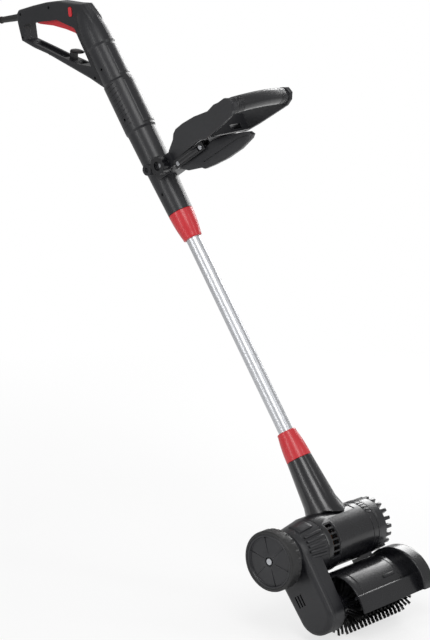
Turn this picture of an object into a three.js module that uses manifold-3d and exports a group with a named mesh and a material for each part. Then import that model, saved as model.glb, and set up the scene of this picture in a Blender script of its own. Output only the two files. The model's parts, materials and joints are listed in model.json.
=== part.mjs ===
// Electric surface brush: a shaft-mounted machine with a transverse motor drum, a belt arm,
// a hooded roller brush, a guide wheel, a D-shaped rear handle and a tilting front handle.
// Millimetres. The origin is the middle of the rear grip, where a hand holds the machine.
// +Z is up, +Y points to the user, +X is the side away from the guide wheel.
// Inside the machine group, +Z runs up the shaft and the motor axis lies along X at its foot.
import * as THREE from "three";
import { mergeVertices } from "three/addons/utils/BufferGeometryUtils.js";
import Module from "manifold-3d";

const wasm = await Module();
wasm.setup();

// Driving dimensions of the whole machine
const leanDegrees = 34;
const gap = 0.3;
const runningGap = 0.6;
const overrun = 2;
const weldDistance = 0.0002;
const brushRadius = 48;
const brushLength = 154;
const brushLeft = -80.5;
const drumRadius = 46;
const hoodOuter = 54;
const drumToHood = 7;
const brushDrop = drumRadius + drumToHood + hoodOuter;
const shaftTubeRadius = 12.5;
const shaftTubeWall = 1.5;
const handleFoot = 600;
const bodyTopZ = 996;
const loopDrop = 147;
const gripRise = 170;
const gripPlaceY = 62;
const loopFootZ = bodyTopZ - loopDrop;
const gripPlaceZ = loopFootZ + gripRise;

// Counts of facets
const roundSides = 28;
const handleSides = 22;
const mediumSides = 16;
const smallSides = 10;
const tinySides = 6;

// Colours and finishes
const darkShell = { color: 0x2b2d30, roughness: 0.55, metalness: 0 };
const blackShell = { color: 0x191a1c, roughness: 0.45, metalness: 0 };
const softBlack = { color: 0x1c1d1f, roughness: 0.8, metalness: 0 };
const signalRed = { color: 0xc4161c, roughness: 0.35, metalness: 0 };
const polishedTube = { color: 0xc9ccd0, roughness: 0.25, metalness: 1 };
const plainSteel = { color: 0x9a9da2, roughness: 0.35, metalness: 1 };
const copperWire = { color: 0xa8592c, roughness: 0.4, metalness: 1 };
const bristleBlack = { color: 0x0e0e10, roughness: 0.6, metalness: 0 };
const paleNylon = { color: 0xd8d5cc, roughness: 0.5, metalness: 0 };

// A closed solid of a geometry, with its faces pointing out
function solidOf(geometry) {
  const loose = geometry.index ? geometry.toNonIndexed() : geometry.clone();
  loose.deleteAttribute("normal");
  loose.deleteAttribute("uv");
  const merged = mergeVertices(loose, weldDistance);
  const triVerts = new Uint32Array(merged.index.array);
  const vertProperties = merged.attributes.position.array;
  const made = new wasm.Manifold(new wasm.Mesh({ numProp: 3, vertProperties, triVerts }));
  if (made.volume() > 0) return made;
  for (let i = 0; i < triVerts.length; i += 3) {
    [triVerts[i + 1], triVerts[i + 2]] = [triVerts[i + 2], triVerts[i + 1]];
  }
  return new wasm.Manifold(new wasm.Mesh({ numProp: 3, vertProperties, triVerts }));
}

// The geometry of a solid
function geometryOf(solid) {
  const mesh = solid.getMesh();
  const step = mesh.numProp;
  const places = new Float32Array(mesh.numVert * 3);
  for (let i = 0; i < mesh.numVert; i += 1) {
    places.set(mesh.vertProperties.subarray(i * step, i * step + 3), i * 3);
  }
  const geometry = new THREE.BufferGeometry();
  geometry.setAttribute("position", new THREE.BufferAttribute(places, 3));
  geometry.setIndex(new THREE.BufferAttribute(new Uint32Array(mesh.triVerts), 1));
  const faceted = geometry.toNonIndexed();
  faceted.computeVertexNormals();
  return faceted;
}

// Joins solids into one
function join(first, ...others) {
  return others.reduce((sum, next) => sum.add(next), first);
}

// Cuts solids out of one
function cut(first, ...others) {
  return others.reduce((rest, next) => rest.subtract(next), first);
}

// A named mesh of a solid, with its own material
function piece(name, solid, finish) {
  const mesh = new THREE.Mesh(geometryOf(solid), new THREE.MeshStandardMaterial(finish));
  mesh.name = name;
  return mesh;
}

// A block between two corners
function block(x0, x1, y0, y1, z0, z1) {
  const geometry = new THREE.BoxGeometry(x1 - x0, y1 - y0, z1 - z0);
  geometry.translate((x0 + x1) / 2, (y0 + y1) / 2, (z0 + z1) / 2);
  return solidOf(geometry);
}

// A profile of [x, radius] points turned about the X axis through (y, z)
function turnX(profile, sides, y = 0, z = 0) {
  const points = profile.map(([x, radius]) => new THREE.Vector2(radius, x));
  const geometry = new THREE.LatheGeometry(points, sides);
  geometry.rotateZ(-Math.PI / 2);
  geometry.translate(0, y, z);
  return solidOf(geometry);
}

// A profile of [z, radius] points turned about the Z axis
function turnZ(profile, sides) {
  const points = profile.map(([z, radius]) => new THREE.Vector2(radius, z));
  const geometry = new THREE.LatheGeometry(points, sides);
  geometry.rotateX(Math.PI / 2);
  return solidOf(geometry);
}

// A round rod along X
function rodX(x0, x1, radius, sides, y = 0, z = 0) {
  const profile = [
    [x0, 0],
    [x0, radius],
    [x1, radius],
    [x1, 0],
  ];
  return turnX(profile, sides, y, z);
}

// A round rod along Z
function rodZ(z0, z1, radius, sides) {
  const profile = [
    [z0, 0],
    [z0, radius],
    [z1, radius],
    [z1, 0],
  ];
  return turnZ(profile, sides);
}

// A ring along X
function ringX(x0, x1, inner, outer, sides, y = 0, z = 0) {
  const hole = rodX(x0 - overrun, x1 + overrun, inner, sides, y, z);
  return cut(rodX(x0, x1, outer, sides, y, z), hole);
}

// A closed outline from [y, z] points
function outlineOf(points) {
  return new THREE.Shape(points.map(([y, z]) => new THREE.Vector2(y, z)));
}

// Turns a shape's own axes, (across, up, out), into (y, z, x)
const sideways = new THREE.Matrix4().makeBasis(
  new THREE.Vector3(0, 1, 0),
  new THREE.Vector3(0, 0, 1),
  new THREE.Vector3(1, 0, 0),
);

// The radius of a round solid's corners whose flat sides stand at one radius
function flatsAt(radius, sides) {
  return radius / Math.cos(Math.PI / sides);
}

// A (y, z) shape drawn out along X, with its edges rounded over where asked
function plate(shape, x0, x1, round = 0, roundSteps = 2, curveSegments = 12) {
  const geometry = new THREE.ExtrudeGeometry(shape, {
    depth: x1 - x0 - 2 * round,
    bevelEnabled: round > 0,
    bevelThickness: round,
    bevelSize: round,
    bevelOffset: -round,
    bevelSegments: roundSteps,
    curveSegments,
  });
  geometry.translate(0, 0, x0 + round);
  geometry.applyMatrix4(sideways);
  return solidOf(geometry);
}

// An arc band between two radii, from one angle to another; 0 is the front and 90 is up
function arcBand(inner, outer, fromDegrees, toDegrees, y = 0, z = 0) {
  const from = Math.PI - THREE.MathUtils.degToRad(fromDegrees);
  const to = Math.PI - THREE.MathUtils.degToRad(toDegrees);
  const shape = new THREE.Shape();
  shape.absarc(y, z, outer, from, to, true);
  shape.absarc(y, z, inner, to, from, false);
  shape.closePath();
  return shape;
}

// The outline round two circles on one vertical line
function loopRound(topRadius, bottomRadius, drop) {
  const lift = Math.asin((topRadius - bottomRadius) / drop);
  const shape = new THREE.Shape();
  shape.absarc(0, 0, topRadius, -lift, Math.PI + lift, false);
  shape.absarc(0, -drop, bottomRadius, Math.PI + lift, 2 * Math.PI - lift, false);
  shape.closePath();
  return shape;
}

// Guide wheel, on the far left of the drum
const wheelLeft = -172;
const wheelWidth = 24;
const wheelRadius = 50;
const tyreThickness = 5.5;
const wheelFaceRecess = 2.5;
const wheelHubRadius = 11;
const axleRadius = 4;
const axleHeadRadius = 5.4;
const axleHeadHeight = 3;
const axleSeatDepth = 16;
const treadNotchCount = 12;
const treadNotchWidth = 5;
const treadNotchDepth = 1.4;
const treadNotchReach = 6;
const wheelWebThickness = 4;
const wheelSpokeCount = 6;
const wheelSpokeWidth = 2;
const wheelSpokeHeight = 1.2;
const wheelRight = wheelLeft + wheelWidth;

function wheelPieces() {
  const discRadius = wheelRadius - tyreThickness;
  const rimInner = discRadius - wheelWebThickness;
  const face = wheelLeft + wheelFaceRecess;
  const back = face + wheelWebThickness;
  const profile = [
    [face, 0],
    [face, rimInner],
    [wheelLeft, discRadius],
    [wheelRight, discRadius],
    [wheelRight, rimInner],
    [back, rimInner],
    [back, wheelHubRadius],
    [wheelRight, wheelHubRadius],
    [wheelRight, 0],
  ];
  let disc = turnX(profile, roundSides);
  const spokeEnd = face - wheelSpokeHeight;
  for (let i = 0; i < wheelSpokeCount; i += 1) {
    const spoke = block(spokeEnd, back, wheelHubRadius, discRadius - gap, -wheelSpokeWidth / 2, wheelSpokeWidth / 2);
    disc = join(disc, spoke.rotate([(360 / wheelSpokeCount) * i, 0, 0]));
  }
  const headSeat = face + axleHeadHeight - wheelSpokeHeight;
  const bore = rodX(wheelLeft - overrun, wheelRight + overrun, axleRadius + gap, smallSides);
  const sink = rodX(wheelLeft - overrun, headSeat, axleHeadRadius + gap, smallSides);
  disc = cut(disc, bore, sink);

  const shoulder = tyreThickness / 3;
  const tyreProfile = [
    [wheelLeft, discRadius + gap],
    [wheelLeft, wheelRadius - shoulder],
    [wheelLeft + shoulder, wheelRadius],
    [wheelRight - shoulder, wheelRadius],
    [wheelRight, wheelRadius - shoulder],
    [wheelRight, discRadius + gap],
    [wheelLeft, discRadius + gap],
  ];
  let tyre = turnX(tyreProfile, roundSides);
  const floor = wheelRadius - treadNotchDepth;
  const reach = wheelRight - treadNotchReach;
  const halfNotch = treadNotchWidth / 2;
  for (let i = 0; i < treadNotchCount; i += 1) {
    const notch = block(reach, wheelRight + overrun, -halfNotch, halfNotch, floor, wheelRadius + overrun);
    tyre = cut(tyre, notch.rotate([(360 / treadNotchCount) * i, 0, 0]));
  }

  const axleEnd = drumLeft + axleSeatDepth;
  const axleProfile = [
    [headSeat - gap - axleHeadHeight, 0],
    [headSeat - gap - axleHeadHeight, axleHeadRadius],
    [headSeat - gap, axleHeadRadius],
    [headSeat - gap, axleRadius],
    [axleEnd - gap, axleRadius],
    [axleEnd - gap, 0],
  ];
  const axle = turnX(axleProfile, smallSides);
  return [
    piece("guide_wheel", disc, darkShell),
    piece("wheel_tyre", tyre, softBlack),
    piece("wheel_axle", axle, plainSteel),
  ];
}

// Belt arm: an inner case with the left part of the drum, and an outer cover
const drumLeft = -146;
const coverBossRadius = 36;
const caseTaper = 8;
const armLeft = -132;
const armSplit = -118;
const armRight = -92;
const armTopRadius = 38;
const armEndRadius = 34;
const armEdgeRound = 3;
const armWall = 3;
const beltSpaceLeft = -125;
const beltSpaceRight = -97;
const bearingWallRight = -90;
const caseRight = -76;
const caseStep = 1;
const caseRightRadius = drumRadius + caseStep;
const drumLeftRadius = caseRightRadius - caseTaper;
const caseMiddle = -98;
const ribCount = 5;
const ribWidth = 4;
const ribHeight = 2.4;
const ribFromDegrees = -31;
const ribStepDegrees = 11;
const ribLeft = -116;
const ribRight = -79;
const casePanelLeft = -121;
const casePanelRight = -86;
const casePanelFromDegrees = 27;
const casePanelToDegrees = 66;
const bearingOuter = 9;
const bearingWidth = 6;
const motorShaftRadius = 4;
const brushShaftRadius = 6;
const brushBearingOuter = 12;
const armVentCount = 3;
const armVentWidth = 3;
const armVentPitch = 6;
const armVentHeight = 20;
const armVentDrop = 66;
const armVentStart = 5;

function beltCasePieces() {
  const armOutline = loopRound(armTopRadius, armEndRadius, brushDrop);
  const armCavity = loopRound(armTopRadius - armWall, armEndRadius - armWall, brushDrop);
  const armBody = plate(armOutline, armLeft, armRight, armEdgeRound, 2, 8);
  const cavity = plate(armCavity, beltSpaceLeft, beltSpaceRight, 0, 1, 6);

  const drumProfile = [
    [drumLeft, 0],
    [drumLeft, coverBossRadius],
    [armLeft - gap, coverBossRadius],
    [armLeft + armEdgeRound, drumLeftRadius],
    [caseMiddle, (drumLeftRadius + caseRightRadius) / 2],
    [caseRight, caseRightRadius],
    [caseRight, 0],
  ];
  const drum = turnX(drumProfile, roundSides);
  let whole = join(armBody, drum);
  const cap = turnX(
    [
      [casePanelLeft - overrun, 0],
      [casePanelLeft - overrun, drumLeftRadius + ribHeight],
      [caseMiddle, (drumLeftRadius + caseRightRadius) / 2 + ribHeight],
      [ribRight + overrun, caseRightRadius + ribHeight / 2],
      [ribRight + overrun, 0],
    ],
    roundSides,
  );
  for (let i = 0; i < ribCount; i += 1) {
    const angle = ribFromDegrees + ribStepDegrees * i;
    const rib = block(ribLeft, ribRight, -ribWidth / 2, ribWidth / 2, drumLeftRadius - ribHeight, 2 * caseRightRadius);
    whole = join(whole, rib.rotate([90 - angle, 0, 0]).intersect(cap));
  }
  const panelBand = arcBand(drumLeftRadius - ribHeight, 2 * caseRightRadius, casePanelFromDegrees, casePanelToDegrees);
  whole = join(whole, plate(panelBand, casePanelLeft, casePanelRight, 0, 1, 6).intersect(cap));

  const motorRoom = rodX(bearingWallRight, caseRight + overrun, caseRightRadius - 2 * armWall, mediumSides);
  const bearingSeat = rodX(beltSpaceRight - overrun, caseRight, bearingOuter + gap, smallSides);
  const brushSeat = rodX(beltSpaceRight - overrun, caseRight, brushBearingOuter + gap, smallSides, 0, -brushDrop);
  const axleSeat = rodX(drumLeft - overrun, drumLeft + axleSeatDepth, axleRadius + gap, smallSides);
  whole = cut(whole, cavity, motorRoom, bearingSeat, brushSeat, axleSeat);
  for (let i = 0; i < armVentCount; i += 1) {
    const near = armVentStart + armVentPitch * i;
    const through = beltSpaceLeft + overrun;
    const top = -armVentDrop;
    whole = cut(whole, block(armLeft - overrun, through, near, near + armVentWidth, top - armVentHeight, top));
  }

  const far = 3 * drumRadius;
  const leftSide = block(armSplit - far, armSplit - gap / 2, -far, far, -far - brushDrop, far);
  const rightSide = block(armSplit + gap / 2, armSplit + far, -far, far, -far - brushDrop, far);
  return [
    piece("belt_cover", whole.intersect(leftSide), darkShell),
    piece("belt_case", whole.intersect(rightSide), darkShell),
  ];
}

// Belt drive inside the arm
const motorPulleyRadius = 11;
const brushPulleyRadius = 24;
const beltLeft = -114;
const beltWidth = 10;
const beltThickness = 2.4;
const flangeThickness = 2;
const flangeHeight = 3.4;
const beltRight = beltLeft + beltWidth;

function pulley(radius, bore, z) {
  const left = beltLeft - gap - flangeThickness;
  const right = beltRight + gap + flangeThickness;
  const profile = [
    [left, 0],
    [left, radius + flangeHeight],
    [beltLeft - gap, radius + flangeHeight],
    [beltLeft - gap, radius],
    [beltRight + gap, radius],
    [beltRight + gap, radius + flangeHeight],
    [right, radius + flangeHeight],
    [right, 0],
  ];
  const hole = rodX(left - overrun, right + overrun, bore + gap, smallSides);
  return cut(turnX(profile, mediumSides), hole).translate([0, 0, z]);
}

function beltPieces() {
  const outside = loopRound(
    motorPulleyRadius + gap + beltThickness,
    brushPulleyRadius + gap + beltThickness,
    brushDrop,
  );
  const inside = loopRound(motorPulleyRadius + gap, brushPulleyRadius + gap, brushDrop);
  const belt = cut(
    plate(outside, beltLeft, beltRight, 0, 1, 7),
    plate(inside, beltLeft - overrun, beltRight + overrun, 0, 1, 7),
  );
  return [
    piece("drive_belt", belt, softBlack),
    piece("motor_pulley", pulley(motorPulleyRadius, motorShaftRadius, 0), plainSteel),
    piece("brush_pulley", pulley(brushPulleyRadius, brushShaftRadius, -brushDrop), paleNylon),
  ];
}

// Motor drum: a front and a rear shell that also make the neck, and a vented end cap
const shellLeft = caseRight + gap;
const shellShoulder = -42;
const shellRight = 60;
const shellLeftRadius = caseRightRadius + caseStep;
const shellWall = 3;
const seatLeft = -50;
const seatRight = -6;
const statorSeatDepth = 7;
const statorRadius = drumRadius - shellWall - statorSeatDepth;
const bulkheadLeft = 40;
const ventLeft = -64;
const ventWidth = 15;
const ventHeight = 7;
const ventCount = 6;
const ventFromDegrees = -41;
const ventStepDegrees = 12;
const ventFrameMargin = 2;
const ventFrameMarginDegrees = 7;
const ventFrameDepth = 0.9;
const neckFoot = 30;
const neckTop = 140;
const neckFootRadius = 37;
const neckWaistHeight = 62;
const neckWaistRadius = 28.5;
const neckTopRadius = 21.8;
const tubeFoot = 66;
const leadRadius = 2.6;
const panelDepth = 1.2;
const panelLeft = -36;
const panelRight = 30;
const panelFromDegrees = 38;
const panelToDegrees = 66;

function motorShellPieces() {
  const drumProfile = [
    [shellLeft, 0],
    [shellLeft, caseRightRadius],
    [shellLeft + shellWall, shellLeftRadius],
    [shellShoulder - shellWall, shellLeftRadius],
    [shellShoulder, drumRadius],
    [shellRight, drumRadius],
    [shellRight, 0],
  ];
  const neckProfile = [
    [neckFoot, 0],
    [neckFoot, neckFootRadius],
    [drumRadius, (neckFootRadius + neckWaistRadius) / 2],
    [neckWaistHeight, neckWaistRadius],
    [(neckWaistHeight + neckTop) / 2, (neckWaistRadius + neckTopRadius) / 2],
    [neckTop, neckTopRadius],
    [neckTop, 0],
  ];
  const inner = drumRadius - shellWall;
  const roomProfile = [
    [shellLeft - overrun, 0],
    [shellLeft - overrun, inner],
    [seatLeft, inner],
    [seatLeft, statorRadius + gap],
    [seatRight, statorRadius + gap],
    [seatRight, inner],
    [bulkheadLeft, inner],
    [bulkheadLeft, bearingOuter + gap],
    [bulkheadLeft + bearingWidth, bearingOuter + gap],
    [bulkheadLeft + bearingWidth, inner],
    [shellRight + overrun, inner],
    [shellRight + overrun, 0],
  ];
  let whole = join(turnX(drumProfile, roundSides), turnZ(neckProfile, roundSides));
  const tubeBore = rodZ(tubeFoot - gap, neckTop + overrun, shaftTubeRadius + gap, mediumSides);
  const leadBore = rodZ(0, neckTop, leadRadius + gap, tinySides);
  whole = cut(whole, turnX(roomProfile, roundSides), tubeBore, leadBore);
  for (let i = 0; i < ventCount; i += 1) {
    const angle = ventFromDegrees + ventStepDegrees * i;
    const flat = block(ventLeft, ventLeft + ventWidth, -ventHeight / 2, ventHeight / 2, inner - overrun, 2 * drumRadius);
    const vent = flat.rotate([90 - angle, 0, 0]);
    whole = cut(whole, vent, vent.mirror([0, 1, 0]));
  }
  const frameFrom = ventFromDegrees - ventFrameMarginDegrees;
  const frameTo = ventFromDegrees + ventStepDegrees * (ventCount - 1) + ventFrameMarginDegrees;
  const frameBand = arcBand(shellLeftRadius - ventFrameDepth, shellLeftRadius + overrun, frameFrom, frameTo);
  const frameRight = ventLeft + ventWidth + ventFrameMargin;
  whole = cut(whole, plate(frameBand, ventLeft - ventFrameMargin, frameRight, 0, 1, 5));
  const panel = arcBand(drumRadius - panelDepth, drumRadius + overrun, panelFromDegrees, panelToDegrees);
  whole = cut(whole, plate(panel, panelLeft, panelRight, 0, 1, 4));

  const far = 2 * neckTop;
  const frontSide = block(-far, far, -far, -gap / 2, -far, far);
  const rearSide = block(-far, far, gap / 2, far, -far, far);
  return [
    piece("motor_shell_front", whole.intersect(frontSide), blackShell),
    piece("motor_shell_rear", whole.intersect(rearSide), blackShell),
  ];
}

// End cap with a ring of cooling fins
const capRight = 93;
const capShoulder = 77;
const capCoreRight = 84;
const capCoreRadius = 38;
const capEndRadius = 34;
const capFloor = 70;
const capFinCount = 20;
const capFinWidth = 4.6;
const capSpigot = 5;

function endCapPiece() {
  const left = shellRight + gap;
  const inner = drumRadius - shellWall - gap;
  const profile = [
    [left - capSpigot, 0],
    [left - capSpigot, inner],
    [left, inner],
    [left, drumRadius - gap],
    [capShoulder, drumRadius - gap],
    [capShoulder, capCoreRadius],
    [capCoreRight, capEndRadius],
    [capCoreRight, 0],
  ];
  let cap = turnX(profile, roundSides);
  const finRoot = capEndRadius - overrun;
  const half = capFinWidth / 2;
  for (let i = 0; i < capFinCount; i += 1) {
    const fin = block(capShoulder - overrun, capRight, -half, half, finRoot, drumRadius - gap - overrun / 4);
    cap = join(cap, fin.rotate([(360 / capFinCount) * (i + 1 / 2), 0, 0]));
  }
  const room = rodX(left - capSpigot - overrun, capFloor, inner - shellWall, mediumSides);
  return piece("motor_end_cap", cut(cap, room), blackShell);
}

// Motor inside the drum
const windingDepth = 14;
const armatureRadius = statorRadius - windingDepth;
const armatureLeft = -48;
const armatureRight = -8;
const motorShaftLeft = -121;
const motorShaftRight = 52;
const commutatorLeft = 14;
const commutatorRight = 28;
const commutatorRadius = 11;
const fanLeft = -72;
const fanDiscThickness = 2;
const fanWidth = 8;
const fanClearance = 6;
const fanRadius = drumRadius - shellWall - fanClearance;
const fanHubRadius = 9;
const fanBladeCount = 6;
const fanBladeThickness = 1.6;
const carbonHolderLeft = 16;
const carbonHolderWidth = 10;
const carbonHolderHeight = 9;
const statorSlotCount = 2;
const statorSlotWidth = 14;

function motorPieces() {
  const shaft = rodX(motorShaftLeft, motorShaftRight, motorShaftRadius, smallSides);
  const bore = motorShaftRadius + gap;
  let stator = ringX(seatLeft + gap, seatRight - gap, armatureRadius + runningGap, statorRadius, mediumSides);
  const reach = statorRadius - shellWall;
  for (let i = 0; i < statorSlotCount; i += 1) {
    const slot = block(
      seatLeft - overrun,
      seatRight + overrun,
      -statorSlotWidth / 2,
      statorSlotWidth / 2,
      0,
      reach,
    );
    stator = cut(stator, slot.rotate([180 * i, 0, 0]));
  }
  const armature = ringX(armatureLeft, armatureRight, bore, armatureRadius, smallSides);
  const commutator = ringX(commutatorLeft, commutatorRight, bore, commutatorRadius, smallSides);
  let fan = join(
    ringX(fanLeft, fanLeft + fanDiscThickness, bore, fanRadius, mediumSides),
    ringX(fanLeft, fanLeft + fanWidth, bore, fanHubRadius, smallSides),
  );
  for (let i = 0; i < fanBladeCount; i += 1) {
    const blade = block(
      fanLeft,
      fanLeft + fanWidth,
      -fanBladeThickness / 2,
      fanBladeThickness / 2,
      fanHubRadius - fanBladeThickness,
      fanRadius - fanBladeThickness,
    );
    fan = join(fan, blade.rotate([(360 / fanBladeCount) * i, 0, 0]));
  }
  const innerFace = commutatorRadius + runningGap;
  const outerFace = drumRadius - shellWall - gap;
  const holders = [-1, 1].map((side) => {
    const low = Math.min(side * innerFace, side * outerFace);
    const high = Math.max(side * innerFace, side * outerFace);
    const holder = block(
      carbonHolderLeft,
      carbonHolderLeft + carbonHolderWidth,
      low,
      high,
      -carbonHolderHeight / 2,
      carbonHolderHeight / 2,
    );
    const bowl = rodX(carbonHolderLeft - overrun, 2 * carbonHolderWidth + carbonHolderLeft, outerFace, roundSides);
    return piece(side < 0 ? "carbon_brush_front" : "carbon_brush_rear", holder.intersect(bowl), copperWire);
  });
  const leftBearing = ringX(beltSpaceRight + gap, bearingWallRight, bore, bearingOuter, smallSides);
  const rightBearing = ringX(bulkheadLeft, bulkheadLeft + bearingWidth, bore, bearingOuter, smallSides);
  return [
    piece("motor_shaft", shaft, plainSteel),
    piece("stator", stator, copperWire),
    piece("armature", armature, copperWire),
    piece("commutator", commutator, copperWire),
    piece("motor_fan", fan, paleNylon),
    ...holders,
    piece("motor_bearing_left", leftBearing, plainSteel),
    piece("motor_bearing_right", rightBearing, plainSteel),
  ];
}

// Roller brush: shaft, core and four strips of bristle tufts
const brushShaftLeft = -121;
const coreRadius = 20;
const stripOuter = 24;
const coreFlangeRadius = 27;
const coreFlangeThickness = 3;
const stripCount = 4;
const rowsPerStrip = 5;
const tuftsPerRow = 15;
const tuftSides = 3;
const tuftRootRadius = 1.9;
const tuftTipRadius = 1.2;
const tuftEndMargin = 6;
const knobRadius = 12;
const knobWidth = 8;
const knobSides = 6;
const brushRight = brushLeft + brushLength;

// One tapered tuft, standing up from the backing at x
function tuft(x) {
  const root = (coreRadius + stripOuter) / 2;
  const geometry = new THREE.CylinderGeometry(tuftTipRadius, tuftRootRadius, brushRadius - root, tuftSides, 1);
  geometry.rotateX(Math.PI / 2);
  geometry.translate(x, 0, (root + brushRadius) / 2);
  return solidOf(geometry);
}

function bristleStrip(index) {
  const rows = stripCount * rowsPerStrip;
  const rowStep = (2 * Math.PI) / rows;
  const first = index * rowsPerStrip;
  const shape = new THREE.Shape();
  const start = first * rowStep;
  const trim = gap / coreRadius;
  for (let i = 0; i <= rowsPerStrip; i += 1) {
    const angle = start + i * rowStep + (i === 0 ? trim : 0) - (i === rowsPerStrip ? trim : 0);
    const point = [Math.cos(angle) * stripOuter, Math.sin(angle) * stripOuter];
    if (i === 0) shape.moveTo(...point);
    else shape.lineTo(...point);
  }
  for (let i = rowsPerStrip; i >= 0; i -= 1) {
    const angle = start + i * rowStep + (i === 0 ? trim : 0) - (i === rowsPerStrip ? trim : 0);
    const inner = (coreRadius + gap) / Math.cos(rowStep / 2);
    shape.lineTo(Math.cos(angle) * inner, Math.sin(angle) * inner);
  }
  shape.closePath();
  let strip = plate(shape, brushLeft, brushRight);
  const pitch = (brushLength - 2 * tuftEndMargin) / (tuftsPerRow - 1 / 2);
  for (let row = 0; row < rowsPerStrip; row += 1) {
    const angle = THREE.MathUtils.radToDeg(start + (row + 1 / 2) * rowStep);
    const stagger = ((first + row) % 2) / 2;
    const tufts = [];
    for (let i = 0; i < tuftsPerRow; i += 1) {
      tufts.push(tuft(brushLeft + tuftEndMargin + pitch * (i + stagger)));
    }
    strip = join(strip, ...tufts.map((one) => one.rotate([angle - 90, 0, 0])));
  }
  return strip;
}

function brushPieces() {
  const coreLeft = brushLeft - gap - coreFlangeThickness;
  const coreRight = brushRight + gap + coreFlangeThickness;
  const coreProfile = [
    [coreLeft, 0],
    [coreLeft, coreFlangeRadius],
    [brushLeft - gap, coreFlangeRadius],
    [brushLeft - gap, coreRadius],
    [brushRight + gap, coreRadius],
    [brushRight + gap, coreFlangeRadius],
    [coreRight, coreFlangeRadius],
    [coreRight, 0],
  ];
  const bore = rodX(coreLeft - overrun, coreRight + overrun, brushShaftRadius + gap, smallSides);
  const core = cut(turnX(coreProfile, mediumSides), bore);
  const shaftRight = hoodRight + knobWidth;
  const shaft = rodX(brushShaftLeft, shaftRight, brushShaftRadius, smallSides);
  const knob = cut(
    turnX(
      [
        [hoodRight + runningGap, 0],
        [hoodRight + runningGap, knobRadius],
        [hoodRight + knobWidth, knobRadius - gap],
        [hoodRight + knobWidth, 0],
      ],
      knobSides,
    ),
    rodX(hoodRight - overrun, shaftRight + overrun, brushShaftRadius + gap, smallSides),
  );
  const turningBore = flatsAt(brushShaftRadius + gap, smallSides);
  const bearing = ringX(beltSpaceRight + gap, bearingWallRight, turningBore, brushBearingOuter, smallSides);
  const bush = ringX(hoodRight - cheekThickness, hoodRight, turningBore, brushBearingOuter, smallSides);
  const strips = [];
  for (let i = 0; i < stripCount; i += 1) {
    strips.push(piece(`bristle_strip_${i + 1}`, bristleStrip(i), bristleBlack));
  }
  return [
    piece("brush_shaft", shaft, plainSteel),
    piece("brush_core", core, blackShell),
    ...strips,
    piece("brush_lock_knob", knob, blackShell),
    piece("brush_bearing", bearing, plainSteel),
    piece("brush_bush", bush, paleNylon),
  ];
}

// Hood over the brush: a round cover, a raised arch at its right end and a front skirt
const hoodWall = 2.4;
const hoodLeft = -76;
const hoodRight = 88;
const hoodFromDegrees = -4;
const hoodToDegrees = 200;
const hoodSteps = 9;
const hoodRootFromDegrees = 56;
const hoodRootSteps = 8;
const cheekThickness = 3.5;
const archLeft = 62;
const archRadius = 64;
const archShiftY = -12;
const archShiftZ = -4;
const archWall = 3;
const archFromDegrees = -28;
const archToDegrees = 150;
const archSteps = 8;
const skirtLeft = -84;
const skirtTopY = -63;
const skirtTopZ = -3;
const skirtFootY = -60;
const skirtFootZ = -32;
const skirtWall = 3;
const skirtLedge = 3.5;
const hoodStepLeft = -60;
const hoodStepHeight = 1.2;
const hoodStepRight = 46;
const hoodBarLeft = 0;
const hoodBarRight = 27;
const hoodBarHeight = 1.4;
const hoodBarHalf = 2.2;
const hoodBarDegrees = 11;
const archSlotLeft = 70;
const archSlotWidth = 3;
const archSlotFromDegrees = 72;
const archSlotToDegrees = 98;

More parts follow.
